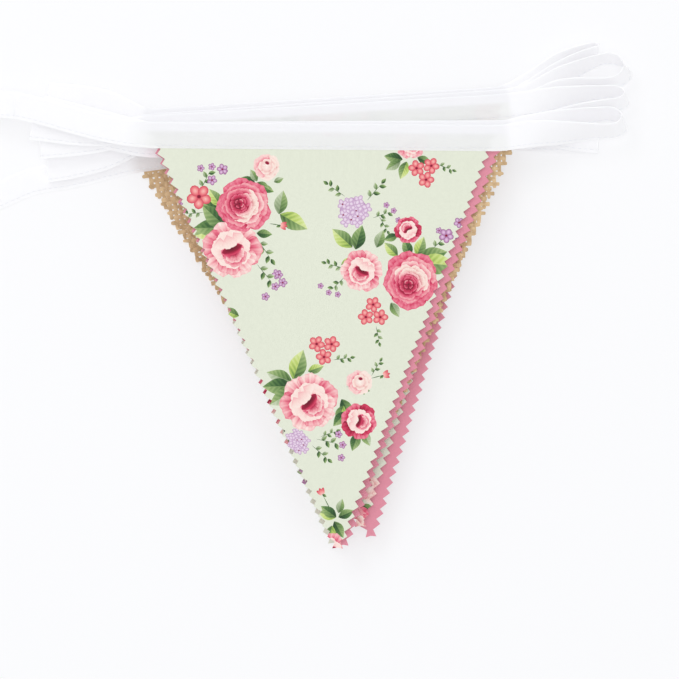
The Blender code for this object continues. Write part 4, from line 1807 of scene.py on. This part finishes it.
@dataclass
class Tape:
    """The white tape: its route over the flags, its two leaves and its stitching."""

    shift: Vector
    left_steps: int = 6
    straight_steps: int = 40
    right_steps: int = 7
    tail_steps: int = 5
    turn_steps: int = 14
    fold_steps: int = 8
    leaf: float = 0.21
    filled_half: float = 0.50
    closed_half: float = 0.30
    slit: float = 0.03
    ridge: float = 2.2
    seam_in: float = 1.5
    stitch_pitch: float = 2.9
    stitch_length: float = 2.1
    stitch_thick: float = 0.30
    ripple: float = 0.10
    ripple_pitch: float = 13.0
    filled_past: float = 7.0
    filled_fade: float = 2.5
    ridge_fade: float = 1.2
    white: Colour = linear(237, 237, 239)
    # Where cloth lies between the leaves the white is painted darker (painted shade). Near the seam the
    # cloth's colour is mixed in, partly as seen through the sheer tape and partly as painted shade.
    shaded_filled_white: Colour = linear(228, 228, 231)
    show_through: float = 0.20

    @staticmethod
    def heading(degrees: float) -> Vector:
        """A level direction that keeps a stop's lean as it is."""
        angle = math.radians(degrees)
        return Vector((math.cos(angle), math.sin(angle), 0.0, 0.0))

    @staticmethod
    def direction(start: Vector, end: Vector) -> Vector:
        """The direction from one stop to another, which keeps a stop's lean as it is."""
        return Vector((*(end.xyz - start.xyz).normalized(), 0.0))

    @staticmethod
    def through(stops: Sequence[Vector], first: Vector, last: Vector, steps: int) -> list[Vector]:
        """Run a smooth line through stops, without its first point.

        Args:
            stops: The stops, each with its place and lean.
            first: The line's direction at its start.
            last: Its direction at its end.
            steps: The steps from each stop to the next.

        Returns:
            The line's points.
        """
        slopes = [(b - a) / 2 for a, b in zip(stops, stops[2:])]
        spans = [(b.xyz - a.xyz).length for a, b in zip(stops, stops[1:])]
        slopes = [first * spans[0], *slopes, last * spans[-1]]
        line = []
        for i, (a, b) in enumerate(zip(stops, stops[1:])):
            for step in range(1, steps + 1):
                s = step / steps
                square, cube = s * s, s**3
                line.append(
                    a * (2 * cube - 3 * square + 1)
                    + slopes[i] * (cube - 2 * square + s)
                    + b * (3 * square - 2 * cube)
                    + slopes[i + 1] * (cube - square)
                )
        return line

    def height(self, number: int) -> float:
        """The height of the tape's middle over the flag with this number."""
        return STACK.underside(number) + STACK.tape_solid / 2

    def corners(self, flag: Flag) -> list[Vector]:
        """The tape's middle line over a flag's two top corners."""
        up = STACK.seam_gap + STACK.tape_width / 2
        ends = [STACK.spot(flag, p, -up) for p in (-STACK.seam / 2, STACK.seam / 2)]
        return [Vector((x, y, self.height(flag.number), 0.0)) for x, y in ends]

    def left_part(self, flag: Flag) -> list[Vector]:
        """A run from its fold or free end to its flag's left corner."""
        corner, onward = self.corners(flag)[0], self.heading(flag.turn)
        if flag.number in TAILS:
            stops = [station.stop for station in TAILS[flag.number]] + [corner]
            return [stops[0]] + self.through(stops, self.direction(*stops[:2]), onward, self.tail_steps)
        upper = flag.number - flag.number % 2
        fold = LEFT_FOLDS[upper]
        out = self.heading(fold.heading)
        reach = (self.height(upper) - self.height(upper + 1)) / 2 + STACK.tape_solid / 2
        start = Vector((fold.x + out.x * reach, fold.y + out.y * reach, corner.z, 0.0))
        via = Vector((fold.via_x, fold.via_y, corner.z, 0.0))
        return [start] + self.through([start, via, corner], out, onward, self.left_steps)

    def run(self, flag: Flag) -> list[Vector]:
        """The stops of one run of tape, from left to right."""
        left, right = self.corners(flag)
        steps = self.straight_steps
        seam = [left.lerp(right, step / steps) for step in range(1, steps + 1)]
        stops = [right] + [station.stop for station in RIGHT_RUNS[flag.number]]
        last = (self.direction(*stops[-2:]) + self.heading(0)) / 2
        right_part = self.through(stops, self.heading(flag.turn), last, self.right_steps)
        return self.left_part(flag) + seam + right_part

    def turn(self, flag: Flag, a: Vector, b: Vector) -> list[tuple[Vector, float, Vector]]:
        """The turn after a flag's run: soft at the right, and a flat fold at the left.

        Args:
            flag: The flag whose run enters the turn.
            a: The last stop of that run.
            b: The first stop of the next one.

        Returns:
            For each section its middle, its lean and its tip.
        """
        if flag.number % 2:
            out, (reach, tip) = Vector((1.0, 0.0, 0.0)), RIGHT_TURNS[flag.number]
            steps = self.fold_steps if a.w == 0.0 else self.turn_steps
        else:
            out = -self.heading(LEFT_FOLDS[flag.number].heading).xyz
            reach, tip, steps = (a.z - b.z) / 2, 0.0, self.fold_steps
        middle, half, lean = (a.xyz + b.xyz) / 2, (a.xyz - b.xyz) / 2, (a.w + b.w) / 2
        square = -out.y * math.cos(math.radians(lean))
        sections = []
        for step in range(steps + 1):
            angle = math.pi * step / steps
            place = middle + half * math.cos(angle) + out * reach * math.sin(angle)
            sections.append((place, lean, out * (square - tip * math.sin(angle))))
        return sections

    def sections(self) -> list[Section]:
        """Work out every section of the tape, from its top free end to its bottom one.

        Returns:
            The sections in order.
        """
        runs = [self.run(flag)[:: 1 if flag.number % 2 else -1] for flag in FLAGS]
        route: list[tuple[Vector, float, Vector, Flag]] = []
        for i, (flag, stops) in enumerate(zip(FLAGS, runs)):
            last = len(stops) - (1 if i + 1 < len(runs) else 0)
            level = Vector((0.0, 0.0, 0.0))
            route += [(stop.xyz, stop.w, level, flag) for stop in stops[1 if i else 0 : last]]
            if i + 1 < len(runs):
                route += [(*row, flag) for row in self.turn(flag, stops[-1], runs[i + 1][0])]
        made, distance = [], 0.0
        for i, (place, lean, tip, flag) in enumerate(route):
            before = place - route[i - 1][0] if i else Vector((0.0, 0.0, 0.0))
            after = route[i + 1][0] - place if i + 1 < len(route) else Vector((0.0, 0.0, 0.0))
            distance += before.length
            along = (before.normalized() + after.normalized()).normalized()
            angle = math.radians(lean)
            across = Vector((0.0, -math.cos(angle), -math.sin(angle))) - tip
            across = (across - along * across.dot(along)).normalized()
            face = along.cross(across).normalized()
            filled = self.filled(flag, place, lean)
            spot = Vector((distance / self.ripple_pitch, flag.number, 0.0))
            ripple = self.ripple * (1.0 - filled) * noise.noise(spot)
            made.append(Section(place + face * ripple, along, across, face, filled, distance, flag))
        return made

    def filled(self, flag: Flag, place: Vector, lean: float) -> float:
        """Tell how far a flag's hidden strip lies between the leaves: 1 over the flag, 0 beyond it."""
        if abs(place.z - self.height(flag.number)) > 0.4 or lean > 3.0:
            return 0.0
        turn = math.radians(flag.turn)
        p = (place.x - flag.x) * math.cos(turn) + (place.y - flag.y) * math.sin(turn)
        return smooth((STACK.seam / 2 + self.filled_past - abs(p)) / self.filled_fade)

    def profile(self, filled: float) -> list[Point]:
        """Draw the tape's section: two leaves joined by a fold at the edge away from the flags.

        Args:
            filled: How far cloth lies between the leaves.

        Returns:
            The section's points, across from the flags' edge and up from the middle.
        """
        edge = STACK.tape_width / 2
        outer = self.closed_half + (self.filled_half - self.closed_half) * filled
        inner = self.slit + (self.filled_half - self.leaf - self.slit) * filled
        shut = self.closed_half
        front = [
            (-edge, outer - 0.03),
            (-edge + 0.5, outer),
            (-edge + self.seam_in, outer - 0.05),
            (-edge + 2.4, outer),
            (-1.0, outer),
            (self.ridge - 0.6, outer),
            (self.ridge + 0.3, shut + 0.03),
            (4.6, shut),
            (edge - 0.45, shut - 0.03),
            (edge - 0.08, 0.16),
        ]
        hollow = [
            (-edge, inner),
            (self.ridge - 0.7, inner),
            (self.ridge + 0.2, self.slit),
            (edge - 0.7, self.slit),
        ]
        back = [(s, -t) for s, t in reversed(front)]
        return front + [(edge, 0.0)] + back + [(s, -t) for s, t in hollow] + hollow[::-1]

    def build(self, material: bpy.types.Material, thread: bpy.types.Material, slot: str) -> None:
        """Build the tape and sew it.

        Args:
            material: The tape's finish.
            thread: The thread's finish.
            slot: Passed on, but not used.
        """
        sections = self.sections()
        below = {
            Cloth.FLORAL: FlowerPrint().ground,
            Cloth.PINK: CottonFlag.pink,
            Cloth.BURLAP: JuteFinish().dark,
        }
        places, uvs, shaded_whites = [], [], []
        for section in sections:
            # Painted shade: the white is darker where cloth lies between the leaves. Near the seam the
            # cloth's own colour is mixed in, partly as seen through the sheer tape and partly as painted
            # shade.
            plain = mix(self.white, self.shaded_filled_white, section.filled)
            shown = mix(plain, below[section.flag.cloth], self.show_through)
            for s, t in self.profile(section.filled):
                place = section.place - section.across * s + section.face * t
                places.append((place + self.shift) * MM)
                uvs.append((section.distance, s))
                shaded_whites.append(mix(plain, shown, section.filled * smooth((self.ridge - s) / self.ridge_fade)))
        size = len(self.profile(0.0))
        faces = []
        for i in range(len(sections) - 1):
            for k in range(size):
                following = (k + 1) % size
                a, b = i * size, (i + 1) * size
                faces.append((a + k, a + following, b + following, b + k))
        faces.append(tuple(range(size))[::-1])
        faces.append(tuple(range(len(places) - size, len(places))))
        mesh = bpy.data.meshes.new("tape_cloth")
        mesh.from_pydata(places, [], faces)
        corners = [corner for face in faces for corner in face]
        flat = [value for corner in corners for value in uvs[corner]]
        mesh.uv_layers.new(name=UV_NAME).data.foreach_set("uv", flat)
        colours = [value for shaded_white in shaded_whites for value in (*shaded_white, 1.0)]
        mesh.attributes.new("shaded_white", "FLOAT_COLOR", "POINT").data.foreach_set("color", colours)
        mesh.materials.append(material)
        made = finish_piece("white_tape", mesh, slot, "tape", 50.0)
        sewing = self.sew(sections, thread, slot)
        length = sections[-1].distance * MM
        flat, rests = (STACK.tape_width * 2 * MM, length), [flag.node for flag in FLAGS]
        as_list(rests)
        LOG.info("tape: %.3f m long", length)

    def sew(self, sections: Sequence[Section], thread: bpy.types.Material, slot: str) -> bpy.types.Object:
        """Sew the tape's open edge, with a stitch on both of its faces.

        Args:
            sections: The tape's sections.
            thread: The thread's finish.
            slot: Passed on, but not used.

        Returns:
            The stitches as one piece.
        """
        places, alongs, outs = [], [], []
        mark = self.stitch_pitch / 2
        for a, b in zip(sections, sections[1:]):
            while mark < b.distance:
                share = (mark - a.distance) / max(1e-6, b.distance - a.distance)
                place, across = a.place.lerp(b.place, share), a.across.lerp(b.across, share)
                face, along = a.face.lerp(b.face, share), a.along.lerp(b.along, share)
                half = self.closed_half + (self.filled_half - self.closed_half) * a.filled
                seam = place + across * (STACK.tape_width / 2 - self.seam_in)
                for side in (1, -1):
                    places.append((seam + face * side * (half + 0.02) + self.shift) * MM)
                    alongs += list(along.normalized())
                    outs += list(face.normalized() * side)
                mark += self.stitch_pitch
        seed = bpy.data.meshes.new("stitch_points")
        seed.from_pydata(places, [], [])
        for name, values in (("along", alongs), ("out", outs)):
            seed.attributes.new(name, "FLOAT_VECTOR", "POINT").data.foreach_set("vector", values)
        sizes = {"Length": self.stitch_length * MM, "Thickness": self.stitch_thick * MM, "Finish": thread}
        return finish_piece("tape_stitches", grow(seed, stitch_tree(), sizes), slot, None, 80.0)


@dataclass(frozen=True)
class Lamp:
    """A square light that faces the middle of the floor: its place, its side and its power in watts."""

    name: str
    place: tuple[float, float, float]
    size: float
    power: float

    def hang(self) -> None:
        """Hang the light."""
        light = bpy.data.lights.new(self.name, "AREA")
        light.shape, light.size, light.energy = "SQUARE", self.size, self.power
        made = put_in_scene(self.name, light)
        made.location = Vector(self.place)
        made.rotation_euler = (-Vector(self.place)).to_track_quat("-Z", "Y").to_euler()


@dataclass(frozen=True)
class Studio:
    """The floor, the soft lights and the camera straight above."""

    view_width: float = 0.3259
    camera_height: float = 1.5
    centre_x: float = 33.8
    centre_y: float = -19.7
    sensor: float = 36.0
    floor_size: float = 3.0
    sky: float = 0.82
    lamps: tuple[Lamp, ...] = (
        Lamp("window", (-0.75, 1.15, 1.35), 0.8, 4.6),
        Lamp("ceiling", (0.03, 0.1, 2.0), 1.1, 6.0),
    )

    def floor(self, material: bpy.types.Material) -> None:
        """Lay the floor.

        Args:
            material: Its finish.
        """
        half = self.floor_size / 2
        mesh = bpy.data.meshes.new("floor")
        corners = [(-half, -half, 0.0), (half, -half, 0.0), (half, half, 0.0), (-half, half, 0.0)]
        mesh.from_pydata(corners, [], [(0, 1, 2, 3)])
        mesh.materials.append(material)
        put_in_scene("floor", mesh)

    def set_up(self, shift: Vector) -> None:
        """Make the lights, the sky and the camera.

        Args:
            shift: The move that centres the bunting.
        """
        scene = bpy.context.scene
        world = bpy.data.worlds.new("soft_sky")
        world.use_nodes = True
        back = world.node_tree.nodes["Background"]
        back.inputs["Color"].default_value = (0.98, 0.99, 1.0, 1.0)
        back.inputs["Strength"].default_value = self.sky
        scene.world = world
        for lamp in self.lamps:
            lamp.hang()
        lens = bpy.data.cameras.new("camera")
        lens.sensor_width = self.sensor
        lens.lens = self.sensor * self.camera_height / self.view_width
        camera = put_in_scene("camera", lens)
        camera.location = Vector((self.centre_x, self.centre_y, 0.0)) * MM + shift * MM
        camera.location.z = self.camera_height
        scene.camera = camera
        scene.view_settings.view_transform = "Standard"


@dataclass
class Bunting:
    """The whole bunting: its flags, its tape and the finishes that they share."""

    shift: Vector

    def __post_init__(self) -> None:
        """Make the finishes."""
        self.flowers = FlowerPrint()
        self.printed = CottonFinish("flower_print", "dye").material()
        self.pink = CottonFinish("pink_cotton", "dye", sheen=0.3, mottle=0.16).material()
        self.jute = JuteFinish().material()
        self.white = TapeFinish().material()
        self.thread = ThreadFinish().material()

    def build(self) -> None:
        """Build every piece, from the top of the stack down, and then the tape."""
        for flag in FLAGS:
            if flag.cloth is Cloth.BURLAP:
                BurlapFlag(flag, self.shift).build(self.jute, "burlap")
            elif flag.cloth is Cloth.PINK:
                CottonFlag(flag, self.shift, self.flowers).build(self.pink, "pink_cotton")
            else:
                CottonFlag(flag, self.shift, self.flowers).build(self.printed, "flower_print")
        Tape(self.shift).build(self.white, self.thread, "white_tape")


def main() -> None:
    """Build the bunting and its studio."""
    logging.basicConfig(level=logging.INFO, format="%(message)s")
    shift = STACK.shift()
    LOG.info("shift: %s", tuple(round(value, 3) for value in shift))
    studio = Studio()
    studio.set_up(shift)
    studio.floor(FloorFinish().material())
    Bunting(shift).build()


if __name__ == "__main__":
    main()
